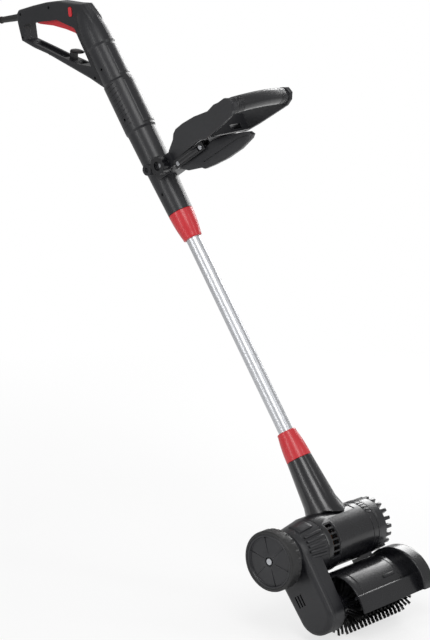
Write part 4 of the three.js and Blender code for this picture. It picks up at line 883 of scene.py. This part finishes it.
# %% Mount the hood
HOOD_SHAPES = {
    "hood_cover": fill_cover,
    "hood_root": fill_root,
    "hood_arch": fill_arch,
    "hood_arch_side": fill_arch_side,
    "hood_cheek": fill_cheek,
    "hood_skirt": fill_skirt,
}
for name, fill in HOOD_SHAPES.items():
    replaced = ["brush_hood"] if name == "hood_cover" else []
    built_piece(name, fill, "housing", "black_shell", *replaced, place=ROLLER_PLACE, smooth=45)
row_piece("hood_bar", fill_bar, BAR_TURNS, "black_shell", place=ROLLER_PLACE)

# %% [markdown]
# ## The belt arm
# The arm hangs from the drum to the roller and holds the belt. It is two mouldings that meet in
# a seam: an outer cover with a fully rounded face and cooling slots, and an inner case whose
# drum part carries ribs. The outline wraps two circles, so one function gives it at any inset.

# %% Arm sizes
ARM_TOP = 38
ARM_END = 34
ARM_LEFT = -132
ARM_SPLIT = -118
ARM_RIGHT = -92
ARM_SKIN = 3
ARM_FACE_EASE = 9
ARM_BACK_EASE = 4
SEAM = 0.15
BELT_LEFT = -125
BELT_RIGHT = -97
VENT_FRONTS = (5, 11, 17)
VENT_WIDTH = 3
VENT_X = (ARM_LEFT - 2, BELT_LEFT + 3)
VENT_Z = (-86, -66)
VENT_EASE = 0.6
AXLE_SEAT = 4.3
AXLE_SEAT_X = (-148, -130)
SEAT_SIDES = 32
BEARING_SEAT = 9.3
BEARING_SIDES = 48
BEARING_X = (-100, -89)
DRUM_ROOM = 41
DRUM_ROOM_X = (-90, -75)
print("arm", ARM_RIGHT - ARM_LEFT, "mm thick,", ARM_TOP + BRUSH_DROP + ARM_END, "mm high")


# %% The arm's loop
def loop_outline(inset, steps=40):
    """Points (y, z) of the loop round the drum's and the roller's axes, drawn in by an inset."""
    slope = math.asin((ARM_TOP - ARM_END) / BRUSH_DROP)
    arcs = [(ARM_TOP - inset, 0, -slope, math.pi + 2 * slope)]
    arcs.append((ARM_END - inset, -BRUSH_DROP, math.pi + slope, math.pi - 2 * slope))
    points = []
    for radius, height, start, sweep in arcs:
        for i in range(steps + 1):
            angle = start + sweep * i / steps
            points.append((radius * math.cos(angle), radius * math.sin(angle) + height))
    return points


def loft(shape, rows):
    """Joins rows of (x, inset) outlines into a closed shell, capping both ends."""
    rings = [[shape.verts.new((x, y, z)) for y, z in loop_outline(inset)] for x, inset in rows]
    skin(shape, rings)
    shape.faces.new(rings[0])
    shape.faces.new(list(reversed(rings[-1])))


def eased(x, way, ease, steps=6):
    """Rows that round an end of the arm: x moves by a quarter circle as the inset grows."""
    turns = spaced(0, math.pi / 2, steps)
    return [(x - way * ease * (1 - math.sin(a)), ease * (1 - math.cos(a))) for a in turns]


def arm_solid(*rows):
    """A plain mesh of the arm's loop."""
    return built("arm", lambda shape: loft(shape, rows), PLAIN)


def fill_vents(shape):
    for y in VENT_FRONTS:
        low, high = (VENT_X[0], y, VENT_Z[0]), (VENT_X[1], y + VENT_WIDTH, VENT_Z[1])
        bar(shape, low, high, VENT_EASE, 2)


print("points round the arm", len(loop_outline(0)))


# %% Drum part of the arm
DRUM_LEFT = -146
BOSS_RADIUS = 36
BOSS_EASE = 1.2
BOSS_FILLET = 1.4
CASE_LEFT = ARM_LEFT + 3
CASE_LEFT_RADIUS = 39
CASE_RIGHT_RADIUS = 47
CASE_RIGHT = -76


def case_radius(x):
    """The outer radius of the drum's left part, which widens to the right."""
    share = (x - CASE_LEFT) / (CASE_RIGHT - CASE_LEFT)
    return CASE_LEFT_RADIUS + (CASE_RIGHT_RADIUS - CASE_LEFT_RADIUS) * share


def rod(shape, left, right_end, radius, sides=FINE_SIDES, lift=0.0):
    """A round bar along X."""
    lathe(shape, [(left, 0), (left, radius), (right_end, radius), (right_end, 0)], sides, LIE, lift)


def fill_left_drum(shape):
    edge = ARM_SPLIT - SEAM
    profile = [(DRUM_LEFT, 0), (DRUM_LEFT, BOSS_RADIUS - BOSS_EASE)]
    profile += [(DRUM_LEFT + BOSS_EASE, BOSS_RADIUS), (ARM_LEFT, BOSS_RADIUS)]
    profile += [(ARM_LEFT + BOSS_FILLET, CASE_LEFT_RADIUS - CORNER), (CASE_LEFT, CASE_LEFT_RADIUS)]
    lathe(shape, profile + [(edge, case_radius(edge)), (edge, 0)])


def fill_right_drum(shape):
    edge = ARM_SPLIT + SEAM
    profile = [(edge, 0), (edge, case_radius(edge)), (CASE_RIGHT - CORNER, CASE_RIGHT_RADIUS)]
    lathe(shape, profile + [(CASE_RIGHT, CASE_RIGHT_RADIUS - CORNER), (CASE_RIGHT, 0)])


def fill_axle_seat(shape):
    rod(shape, *AXLE_SEAT_X, AXLE_SEAT, SEAT_SIDES)


def fill_shaft_ways(shape):
    rod(shape, *BEARING_X, BEARING_SEAT, BEARING_SIDES)
    rod(shape, *BEARING_X, BUSH_SEAT, BEARING_SIDES, -BRUSH_DROP)
    rod(shape, *DRUM_ROOM_X, DRUM_ROOM)


print("drum radius at the seam", round(case_radius(ARM_SPLIT), 2))


# %% Cover and case, cut and mounted
def arm_part(shell, drum, room, cuts):
    """One moulding of the arm: its shell and its part of the drum, less the room and the cuts."""
    whole = carved(arm_solid(*shell), [built("drum", drum, PLAIN)], "UNION")
    part = carved(whole, [arm_solid(*room)] + [built("cut", fill, PLAIN) for fill in cuts])
    part.transform(TO_SCENE)
    return part


cover_shell = [(ARM_SPLIT - SEAM, 0), *eased(ARM_LEFT, -1, ARM_FACE_EASE)]
cover_room = [(ARM_SPLIT + 1, ARM_SKIN), (BELT_LEFT + 2, ARM_SKIN), (BELT_LEFT, ARM_SKIN + 2)]
cover = arm_part(cover_shell, fill_left_drum, cover_room, [fill_vents, fill_axle_seat])
mesh_piece("arm_cover", cover, "housing", "dark_shell", "belt_cover", smooth=30)
case_shell = [(ARM_SPLIT + SEAM, 0), *eased(ARM_RIGHT, 1, ARM_BACK_EASE)]
case_room = [(ARM_SPLIT - 1, ARM_SKIN), (BELT_RIGHT, ARM_SKIN)]
case = arm_part(case_shell, fill_right_drum, case_room, [fill_shaft_ways])
mesh_piece("arm_case", case, "housing", "dark_shell", "belt_case", smooth=30)

# %% [markdown]
# ## Ribs and panel on the case
# Five long ribs with round backs stiffen the case in front, and a raised panel lies above them.
# One rib is a tapered bar that follows the widening drum, repeated by the row tree.

# %% Ribs and panel
RIB_TURNS = (5, -31, 11.6)
RIB_X = (-116, -79)
RIB_HALF = 2.6
RIB_ROOT = -2
RIB_HEIGHT = 3
RIB_EASE = 1.7
PANEL_DEGREES = (30, 66)
PANEL_X = (-115, -86)
PANEL_EASE = 2
PANEL_RISE = 2.2
PANEL_ROOT = -1.5
PANEL_EDGE = 0.6
PANEL_STEPS = 24
DEGREE_WIDTH = 0.8


def fill_rib(shape):
    bar(shape, (RIB_X[0], -RIB_HALF, RIB_ROOT), (RIB_X[1], RIB_HALF, RIB_HEIGHT), RIB_EASE, 4)
    for vertex in shape.verts:
        vertex.co.z += case_radius(vertex.co.x)


def fill_panel(shape):
    left, right_end = PANEL_X
    inner = spaced(left + PANEL_EASE, right_end - PANEL_EASE, 6)
    stations = [left, left + PANEL_EDGE, *inner, right_end - PANEL_EDGE, right_end]

    def point(x, degrees, depth):
        sides = min(degrees - PANEL_DEGREES[0], PANEL_DEGREES[1] - degrees) * DEGREE_WIDTH
        rise = PANEL_RISE * swell(min(x - left, right_end - x, sides), PANEL_EASE)
        return on_arc(case_radius(x) + (PANEL_ROOT if depth else rise), degrees, x)

    sheet(shape, stations, spaced(*PANEL_DEGREES, PANEL_STEPS), point, 1)


row_piece("case_ribs", fill_rib, RIB_TURNS, "dark_shell")
built_piece("case_panel", fill_panel, "housing", "dark_shell", smooth=40)

# %% [markdown]
# ## The end cap
# The drum ends in a cap with a crown of short cooling fins. The cap is turned, and one rounded
# fin is repeated round it.

# %% Cap and fins
CAP_LEFT = 60.3
CAP_SPIGOT_LEFT = 55.3
CAP_SPIGOT = 42.7
CAP_WALL = 3
CAP_SHOULDER = 77
CAP_CORE = 41
CAP_FACE = 86
CAP_FLOOR = 70
DRUM_RADIUS = 46
CAP_RIM = DRUM_RADIUS - 0.3
FIN_TURNS = (20, 9, 18)
FIN_HALF = 3.2
FIN_END = 90.5
FIN_EASE = 1.5


def fill_cap(shape):
    """The cap's outside from its spigot to its face, then its hollow, meeting in one circle."""
    inner = CAP_SPIGOT - CAP_WALL
    left = CAP_SPIGOT_LEFT
    profile = [(left, inner), (left, CAP_SPIGOT), (CAP_LEFT, CAP_SPIGOT), (CAP_LEFT, CAP_RIM - 0.6)]
    profile += [(CAP_LEFT + 0.6, CAP_RIM), (CAP_SHOULDER - CORNER, CAP_RIM)]
    profile += [(CAP_SHOULDER, CAP_RIM - CORNER), (CAP_SHOULDER, CAP_CORE)]
    profile += [(CAP_FACE - 4, CAP_CORE - 1), (CAP_FACE - 1, CAP_CORE - 3)]
    lathe(shape, profile + [(CAP_FACE, CAP_CORE - 6), (CAP_FACE, 0)])
    lathe(shape, [(left, inner), (CAP_FLOOR, inner), (CAP_FLOOR, 0)])
    bmesh.ops.remove_doubles(shape, verts=shape.verts, dist=0.001)


def fill_fin(shape):
    low = (CAP_SHOULDER - FIN_EASE, -FIN_HALF, CAP_CORE - 6)
    bar(shape, low, (FIN_END, FIN_HALF, DRUM_RADIUS - 0.4), FIN_EASE)


built_piece("drum_cap", fill_cap, "housing", "black_shell", "motor_end_cap", smooth=35)
row_piece("cap_fins", fill_fin, FIN_TURNS, "black_shell")

# %% [markdown]
# ## Rings and ribs on the drum
# Two fine raised rings mark where the cap's spigot sits inside the drum, and one stands beside
# the vents. Short cooling ribs lie between the two, on the drum's upper front. The rings are
# turned and the ribs are one bar, repeated.

# %% Drum rings and ribs
RING_PLACES = [(43, 1.2), (56, 1.2), (-44, 1.4)]
RING_STEPS = [(0, -0.6), (0, 0.1), (1 / 3, 0.5), (2 / 3, 0.5), (1, 0.1), (1, -0.6)]
DRUM_RIB_X = (45.5, 54.5)
DRUM_RIB_HALF = 1.3
DRUM_RIB_TURNS = (7, 16, 8)
DRUM_RIB_EASE = 0.6


def fill_drum_rings(shape):
    for x, width in RING_PLACES:
        profile = [(x + width * share, DRUM_RADIUS + rise) for share, rise in RING_STEPS]
        lathe(shape, profile, closed=True)


def fill_drum_rib(shape):
    low = (DRUM_RIB_X[0], -DRUM_RIB_HALF, DRUM_RADIUS - 2)
    bar(shape, low, (DRUM_RIB_X[1], DRUM_RIB_HALF, DRUM_RADIUS + 0.8), DRUM_RIB_EASE)


built_piece("drum_rings", fill_drum_rings, "housing", "dark_shell")
row_piece("drum_ribs", fill_drum_rib, DRUM_RIB_TURNS, "black_shell")

# %% [markdown]
# ## The guide wheel
# The wheel is a dished disc with six faint spokes and a rim lip, in a rubber tyre whose inner
# edge has tread notches. The notches are part of the tyre's own surface: the radius drops where
# the angle falls inside a notch.

# %% Wheel sizes
WHEEL_LEFT = -172
WHEEL_RIGHT = -148
WHEEL_RADIUS = 50
RIM_RADIUS = 44.5
DISC_SIDES = 128
DISC_PROFILE = [(WHEEL_RIGHT, AXLE_SEAT), (-167.9, AXLE_SEAT), (-167.9, 7.4), (-170.6, 7.8)]
DISC_PROFILE += [(-170.9, 9), (-170.7, 11), (-169.9, 13), (-169.7, 26), (-169.3, 37), (-168.9, 39.4)]
DISC_PROFILE += [(-169.4, 40.3), (-171.3, 41), (-171.8, 41.7), (WHEEL_LEFT, 42.4), (WHEEL_LEFT, 43.6)]
DISC_PROFILE += [(-171.5, RIM_RADIUS), (WHEEL_RIGHT + 0.4, RIM_RADIUS), (WHEEL_RIGHT, 44.1)]
DISC_PROFILE += [(WHEEL_RIGHT, 40.5), (-165.5, 40.5), (-165.5, 11), (WHEEL_RIGHT, 11)]
SPOKE_TURNS = (6, 12, 60)
SPOKE_LOW = (-170.5, -0.9, 11.5)
SPOKE_HIGH = (-168.6, 0.9, 40.2)
SPOKE_EASE = 0.5
NOTCH_COUNT = 24
NOTCH_SHARE = 0.3
NOTCH_REACH = 8
NOTCH_DEPTH = 1.5
NOTCH_ROWS = range(7, 12)
TYRE_SIDES = 192
TYRE_ROWS = [(WHEEL_LEFT + 0.2, 44.9), (WHEEL_LEFT, 45.6), (WHEEL_LEFT, 47.4), (-171.6, 48.7)]
TYRE_ROWS += [(-170.6, 49.6), (-169.2, WHEEL_RADIUS), (WHEEL_RIGHT - NOTCH_REACH, WHEEL_RADIUS)]
TYRE_ROWS += [(-155.9, WHEEL_RADIUS), (-151, WHEEL_RADIUS), (-149.3, 49.5), (-148.3, 48.6)]
TYRE_ROWS += [(WHEEL_RIGHT, 47.2), (WHEEL_RIGHT, 45.4), (-148.2, 44.9)]
print("wheel", 2 * WHEEL_RADIUS, "mm across,", WHEEL_RIGHT - WHEEL_LEFT, "mm wide")


# %% Wheel meshes
def fill_disc(shape):
    """The disc's section, from the hub's bolt seat out over the face and the lip, and back."""
    lathe(shape, DISC_PROFILE, DISC_SIDES, closed=True)


def fill_spoke(shape):
    bar(shape, SPOKE_LOW, SPOKE_HIGH, SPOKE_EASE, 2)


def fill_tyre(shape):
    rings = []
    for index, (x, radius) in enumerate(TYRE_ROWS):
        ring = []
        for i, (c, s) in enumerate(circle(TYRE_SIDES)):
            notched = index in NOTCH_ROWS and i * NOTCH_COUNT % TYRE_SIDES < TYRE_SIDES * NOTCH_SHARE
            here = min(radius, WHEEL_RADIUS - NOTCH_DEPTH) if notched else radius
            ring.append(shape.verts.new((x, here * c, here * s)))
        rings.append(ring)
    skin(shape, rings, closed=True)


built_piece("wheel_disc", fill_disc, "wheel", "dark_shell", "guide_wheel", smooth=35)
row_piece("wheel_spokes", fill_spoke, SPOKE_TURNS, "dark_shell", "wheel")
built_piece("wheel_tread", fill_tyre, "wheel", "soft_black", "wheel_tyre", smooth=35)

# %% [markdown]
# ## Shaft and collars
# The shaft is a drawn tube and its two collars are glossy mouldings with a soft shoulder at each
# end. All three are turned about the shaft, finely enough for the tube's long highlight.

# %% Shaft and collars
TUBE_RADIUS = 12.5
TUBE_WALL = 1.5
TUBE_FOOT = 66
TUBE_TOP = 652
LOWER_COLLAR = (140.3, 190, 21.8, 16.5)
UPPER_COLLAR = (599.7, 550, 21.4, 16.5)
COLLAR_BAND = 2
COLLAR_TAPER = 44
COLLAR_BOW = 0.9
COLLAR_GAP = 0.3


def fill_tube(shape):
    inner = TUBE_RADIUS - TUBE_WALL
    profile = [(TUBE_FOOT, TUBE_RADIUS), (TUBE_TOP, TUBE_RADIUS), (TUBE_TOP, inner), (TUBE_FOOT, inner)]
    lathe(shape, profile, turn=UPRIGHT, closed=True)


def collar(wide_end, narrow_end, wide, narrow):
    """Fills in a collar between two heights, from its wide radius to its narrow one."""
    way = 1 if narrow_end > wide_end else -1

    def fill(shape):
        profile = [(wide_end, wide - CORNER), (wide_end + way * CORNER, wide)]
        for share in spaced(0, 1, 8):
            bow = COLLAR_BOW * math.sin(math.pi * share)
            along = wide_end + way * (COLLAR_BAND + COLLAR_TAPER * share)
            profile.append((along, wide + (narrow - wide) * share + bow))
        profile += [(narrow_end - way * 1.6, narrow), (narrow_end - way * 0.4, narrow - 0.6)]
        bore = TUBE_RADIUS + COLLAR_GAP
        profile += [(narrow_end, narrow - 1.5), (narrow_end, bore), (wide_end, bore)]
        lathe(shape, profile, turn=UPRIGHT, closed=True)

    return fill


built_piece("drawn_shaft", fill_tube, "housing", "bright_tube", "shaft_tube")
low_collar = collar(*LOWER_COLLAR)
built_piece("collar_low", low_collar, "housing", "red_plastic", "lower_collar", smooth=35)
high_collar = collar(*UPPER_COLLAR)
built_piece("collar_high", high_collar, "housing", "red_plastic", "upper_collar", smooth=35)

# %% [markdown]
# ## The front grip
# The front handle ends in a bowed bar under a soft sleeve, with fine ridges near both ends. The
# sleeve is swept along the bow, and its radius dips at each groove.

# %% Grip sleeve
PIVOT_Y = -38
PIVOT_Z = 674
HAND_REACH = 212
BAR_BOW = 9
BAR_RISE = 2
BAR_END = 69.8
GRIP_RADIUS = 13.5
GRIP_CORE = 11.3
GRIP_HALF = 59.7
GROOVES = [-56, -52.5, -49, -45.5, 45.5, 49, 52.5, 56]
GROOVE_STEPS = (-0.9, -0.5, 0, 0.5, 0.9)
GROOVE_HALF = 0.55
GROOVE_DIP = 0.8
GRIP_END_WIDTH = 1.2
GRIP_END_EASE = 0.7
GRIP_SIDES = 48
GRIP_STEPS = 60


def grip_middle(x):
    bow = BAR_BOW * (1 - (x / BAR_END) ** 2)
    return Vector((x, PIVOT_Y - HAND_REACH - bow, PIVOT_Z + BAR_RISE))


def grip_radius(x):
    """The sleeve's outer radius, which dips at a groove and eases at the ends."""
    dip = GROOVE_DIP if min(abs(x - groove) for groove in GROOVES) < GROOVE_HALF else 0
    end = max(0, 1 - (GRIP_HALF - abs(x)) / GRIP_END_WIDTH)
    return GRIP_RADIUS - dip - GRIP_END_EASE * end * end


def fill_grip(shape):
    groove_sides = {groove + step for groove in GROOVES for step in GROOVE_STEPS}
    stations = sorted(set(spaced(-GRIP_HALF, GRIP_HALF, GRIP_STEPS)) | groove_sides)
    outer = [(x, grip_radius(x)) for x in stations]
    rows = []
    for x, radius in outer + [(x, GRIP_CORE) for x in reversed(stations)]:
        along = Vector((1, 2 * BAR_BOW * x / BAR_END**2, 0)).normalized()
        side = Vector((-along.y, along.x, 0))
        middle = grip_middle(x)
        ways = [side * c + Vector((0, 0, s)) for c, s in circle(GRIP_SIDES)]
        rows.append([shape.verts.new(middle + radius * way) for way in ways])
    skin(shape, rows, closed=True)


built_piece(
    "grip_sleeve", fill_grip, "front_handle", "soft_black", "front_grip", finish=BLACK, smooth=45
)

# %% [markdown]
# ## Inlays on the rear handle
# The body of the rear handle wears two thin inlays over its right and front. Each is a curved
# sheet that follows the handle's taper, and its edges swell up over a few tenths of a millimetre.

# %% Handle inlays
HANDLE_FOOT = 600
BODY_RISE = 396
BODY_RADIUS = 27
INLAYS = [(0.405, 0.612, 1.0, 0.995), (0.64, 0.78, 0.92, 0.905)]
INLAY_DEGREES = (-62, 118)
INLAY_RISE = 0.9
INLAY_EASE = 1.6
INLAY_SINK = 0.25
INLAY_ROOT = 1.2
INLAY_DEGREE_WIDTH = 0.45
INLAY_EDGES = (0.002, 0.006)
INLAY_STEPS = 60


def round_body(radius, degrees, height):
    """A place on the upright handle: 0 degrees is its right, 90 its front."""
    angle = math.radians(degrees)
    return Vector((radius * math.cos(angle), -radius * math.sin(angle), height))


def inlay(low, high, low_radius, high_radius):
    """The stations and the points of one inlay between two shares of the handle's length."""
    first, second = INLAY_EDGES
    inner = spaced(low + second, high - second, 10)
    stations = [low, low + first, *inner, high - first, high]

    def point(share, degrees, depth):
        part = (share - low) / (high - low)
        base = BODY_RADIUS * (low_radius + (high_radius - low_radius) * part)
        sides = min(degrees - INLAY_DEGREES[0], INLAY_DEGREES[1] - degrees) * INLAY_DEGREE_WIDTH
        ends = min(share - low, high - share) * BODY_RISE
        rise = INLAY_RISE * swell(min(ends, sides), INLAY_EASE) - INLAY_SINK
        radius = base + (-INLAY_ROOT if depth else rise)
        return round_body(radius, degrees, HANDLE_FOOT + share * BODY_RISE)

    return stations, point


def fill_inlays(shape):
    for sizes in INLAYS:
        stations, point = inlay(*sizes)
        sheet(shape, stations, spaced(*INLAY_DEGREES, INLAY_STEPS), point, 1)


built_piece("handle_inlays", fill_inlays, "housing", "dark_shell", smooth=45)

# %% [markdown]
# ## Grip lines on the handle
# Fine raised lines on the side of the handle's body give the thumb a hold. Their near-black
# finish is painted shade, which makes the lines read dark. One line is a bent strip with a round
# back, and the row tree sets out the rest along the handle.

# %% Grip lines
LINE_TURNS = (10, 90, 0)
LINE_PITCH = 8.2
LINE_FOOT = 770
LINE_DEGREES = (150, 196)
LINE_HALF = 0.8
LINE_RISE = 0.3
LINE_ROOT = 1.5
LINE_SAG = 3
LINE_RADIUS = BODY_RADIUS * 0.985
LINE_SHIFT = (0, 0, LINE_PITCH)
LINE_ACROSS = [-1, -0.6, -0.2, 0.2, 0.6, 1]
LINE_STEPS = 14


def fill_line(shape):
    """One line, laid on a cylinder about the handle's axis."""

    def point(step, degrees, depth):
        rise = -LINE_ROOT if depth else LINE_RISE * math.cos(math.pi / 2 * step)
        sag = LINE_SAG * math.sin(2 * math.radians(degrees - LINE_DEGREES[0]))
        return round_body(LINE_RADIUS + rise, degrees, LINE_FOOT + LINE_HALF * step - sag)

    sheet(shape, LINE_ACROSS, spaced(*LINE_DEGREES, LINE_STEPS), point, 1)


# The near-black of the lines is painted shade.
row_piece(
    "grip_lines", fill_line, LINE_TURNS, "dark_shell", shift=LINE_SHIFT, finish=PAINTED_SHADE_BLACK, smooth=50
)

# %% [markdown]
# ## Screws
# Small screws sit in the wells of the left handle shell, in a near-black finish that is painted
# shade for the deep wells. A tree puts one head in each well, and every head is turned by its
# own seeded amount, as screws are.

# %% Screw recipe
LOOP_REACH = 148
LOOP_RISE = 209
LOOP_FOOT_Z = 849
LOOP_WELL_X = -12.3
BODY_WELL_X = -20.4
SCREW_SHARES = [(0.383, 0.84), (0.83, 0.955), (0.955, 0.785), (0.69, 0.525), (0.2, 0.115)]
BODY_SCREW_RISES = [178, 274, 36]
SCREW_PROFILE = [(0.3, 0), (0.3, 2.0), (-0.5, 2.0), (-0.9, 1.6), (-0.9, 0.9), (-0.4, 0.8), (-0.4, 0)]
SCREW_SIDES = 24
SCREW_SEED = 3


def fill_screw(shape):
    lathe(shape, SCREW_PROFILE, SCREW_SIDES)


def screw_recipe():
    inputs = {"Geometry": ["Geometry"], "Object": ["Places"], "Int": ["Seed"], "Material": ["Finish"]}
    graph = Recipe("screws_at_places", inputs)
    ask = graph.ask
    cloud = graph.wire("GeometryNodeObjectInfo", None, {"Object": ask["Places"]}, output="Geometry")
    values = {2: 0.0, 3: 2 * math.pi, "Seed": ask["Seed"]}
    spin = graph.wire("FunctionNodeRandomValue", {"data_type": "FLOAT"}, values, output=1)
    euler = graph.wire("ShaderNodeCombineXYZ", None, [spin, 0.0, 0.0])
    rotation = graph.wire("FunctionNodeEulerToRotation", None, [euler])
    placed = {"Points": cloud, "Instance": ask["Geometry"], "Rotation": rotation}
    return graph.plain_ending(graph.wire("GeometryNodeInstanceOnPoints", None, placed))


SCREWS = screw_recipe()
print("screw recipe asks for", ", ".join(SCREWS.sockets))


# %% Screws in their wells
places = [(LOOP_WELL_X, y * LOOP_REACH, LOOP_FOOT_Z + z * LOOP_RISE) for y, z in SCREW_SHARES]
places += [(BODY_WELL_X, 0, HANDLE_FOOT + rise) for rise in BODY_SCREW_RISES]
well_mesh = bpy.data.meshes.new("wells")
well_mesh.from_pydata(places, [], [])
wells = put("wells", well_mesh)
# The screws' near-black paints the shade of the deep wells.
screw_values = {"Places": wells, "Seed": SCREW_SEED, "Finish": PAINTED_SHADE_BLACK}
screws = grown("shell_screws", SCREWS, screw_values, built("screw", fill_screw, PLAIN))
bpy.data.objects.remove(wells)
screws.transform(TO_SCENE)
mesh_piece("shell_screws", screws, "housing", "steel", finish=PAINTED_SHADE_BLACK, smooth=30)
print("screws", len(places))

# %% [markdown]
# ## Floor, backdrop and light
# The photograph is a cut-out on white, so the floor and the world look white to the camera, while
# reflections see the world at half its strength. Near the object the floor keeps a soft shadow,
# and further out it is plain white. Four soft lamps give the long highlights on the tube and the
# drum.

# %% Floor and world
FLOOR_SIZE = 30
NEAR_WHITE = 0.7
SHADOW_REACH = 0.5
WHITE_REACH = 1.6
FLOOR_GLOSS = 0.9
FLOOR_DARK = (0.86, 0.86, 0.86)
FLOOR_PALE = (0.89, 0.89, 0.89)
TINT_SIZE = 400
SKY_LIGHT = 0.45
SKY_MIRRORED = 0.05
SKY_SEEN = 0.55


def floor_finish():
    finish = Finish("pale_floor")
    finish.dress(finish.mix(finish.noise(TINT_SIZE, 2), FLOOR_DARK, FLOOR_PALE), FLOOR_GLOSS)
    place = finish.wire("ShaderNodeTexCoord", output="Object")
    flat = finish.wire("ShaderNodeVectorMath", {"operation": "MULTIPLY"}, [place, (1, 1, 0)])
    middle = (cad_low + cad_high) / 2
    centre = (middle.x, middle.y, 0)
    away = finish.wire("ShaderNodeVectorMath", {"operation": "DISTANCE"}, [flat, centre], output=1)
    far = ((away - SHADOW_REACH) / (WHITE_REACH - SHADOW_REACH)).math("MAXIMUM", 0).math("MINIMUM", 1)
    seen = finish.wire("ShaderNodeLightPath", output="Is Camera Ray")
    share = seen * (far * (1 - NEAR_WHITE) + NEAR_WHITE)
    white = finish.wire("ShaderNodeEmission", None, {"Color": (1, 1, 1, 1), "Strength": 1.0})
    plain = Wire(finish, finish.shader.outputs[0])
    both = finish.wire("ShaderNodeMixShader", None, [share, plain, white])
    finish.plug(finish.tree.nodes["Material Output"].inputs["Surface"], both)
    return finish.material


half = FLOOR_SIZE / 2
ground = cad_low.z
corners = [(-half, -half, ground), (half, -half, ground), (half, half, ground), (-half, half, ground)]
floor_mesh = bpy.data.meshes.new("floor")
floor_mesh.from_pydata(corners, [], [(0, 1, 2, 3)])
floor_mesh.materials.append(floor_finish())
floor = put("floor", floor_mesh)

world = bpy.data.worlds.new("studio")
world.use_nodes = True
bpy.context.scene.world = world
sky = Graph(world.node_tree)
rays = sky.node("ShaderNodeLightPath").outputs
through_ray = Wire(sky, rays["Is Transmission Ray"])
reflected = Wire(sky, rays["Is Glossy Ray"]).math("MAXIMUM", through_ray)
seen = Wire(sky, rays["Is Camera Ray"])
background = sky.tree.nodes["Background"]
sky.plug(background.inputs["Color"], (1, 1, 1, 1))
sky.plug(background.inputs["Strength"], seen * SKY_SEEN + reflected * SKY_MIRRORED + SKY_LIGHT)
print("floor", FLOOR_SIZE, "metres, at", round(ground, 4))


# %% Lamps
def lamp(name, aim, away, size, power):
    light = bpy.data.lights.new(name, "AREA")
    light.shape = "RECTANGLE"
    light.size, light.size_y = size
    light.energy = power
    made = put(name, light)
    made.location = aim + Vector(away)
    made.rotation_euler = (-Vector(away)).to_track_quat("-Z", "Y").to_euler()
    print(name, power, "watts")


HEAD_DROP = -60
middle = (cad_low + cad_high) / 2
head = tool(0, 0, HEAD_DROP)
lamp("key_lamp", middle, (-1.3, -1.7, 2.0), (0.9, 1.6), 30)
lamp("side_lamp", middle, (-2.4, 0.3, 0.7), (0.35, 2.2), 15)
lamp("front_strip", middle, (0.6, -2.3, 0.9), (0.3, 2.0), 9)
lamp("hood_lamp", head, (1.9, 0.7, 1.1), (1.3, 0.9), 24)
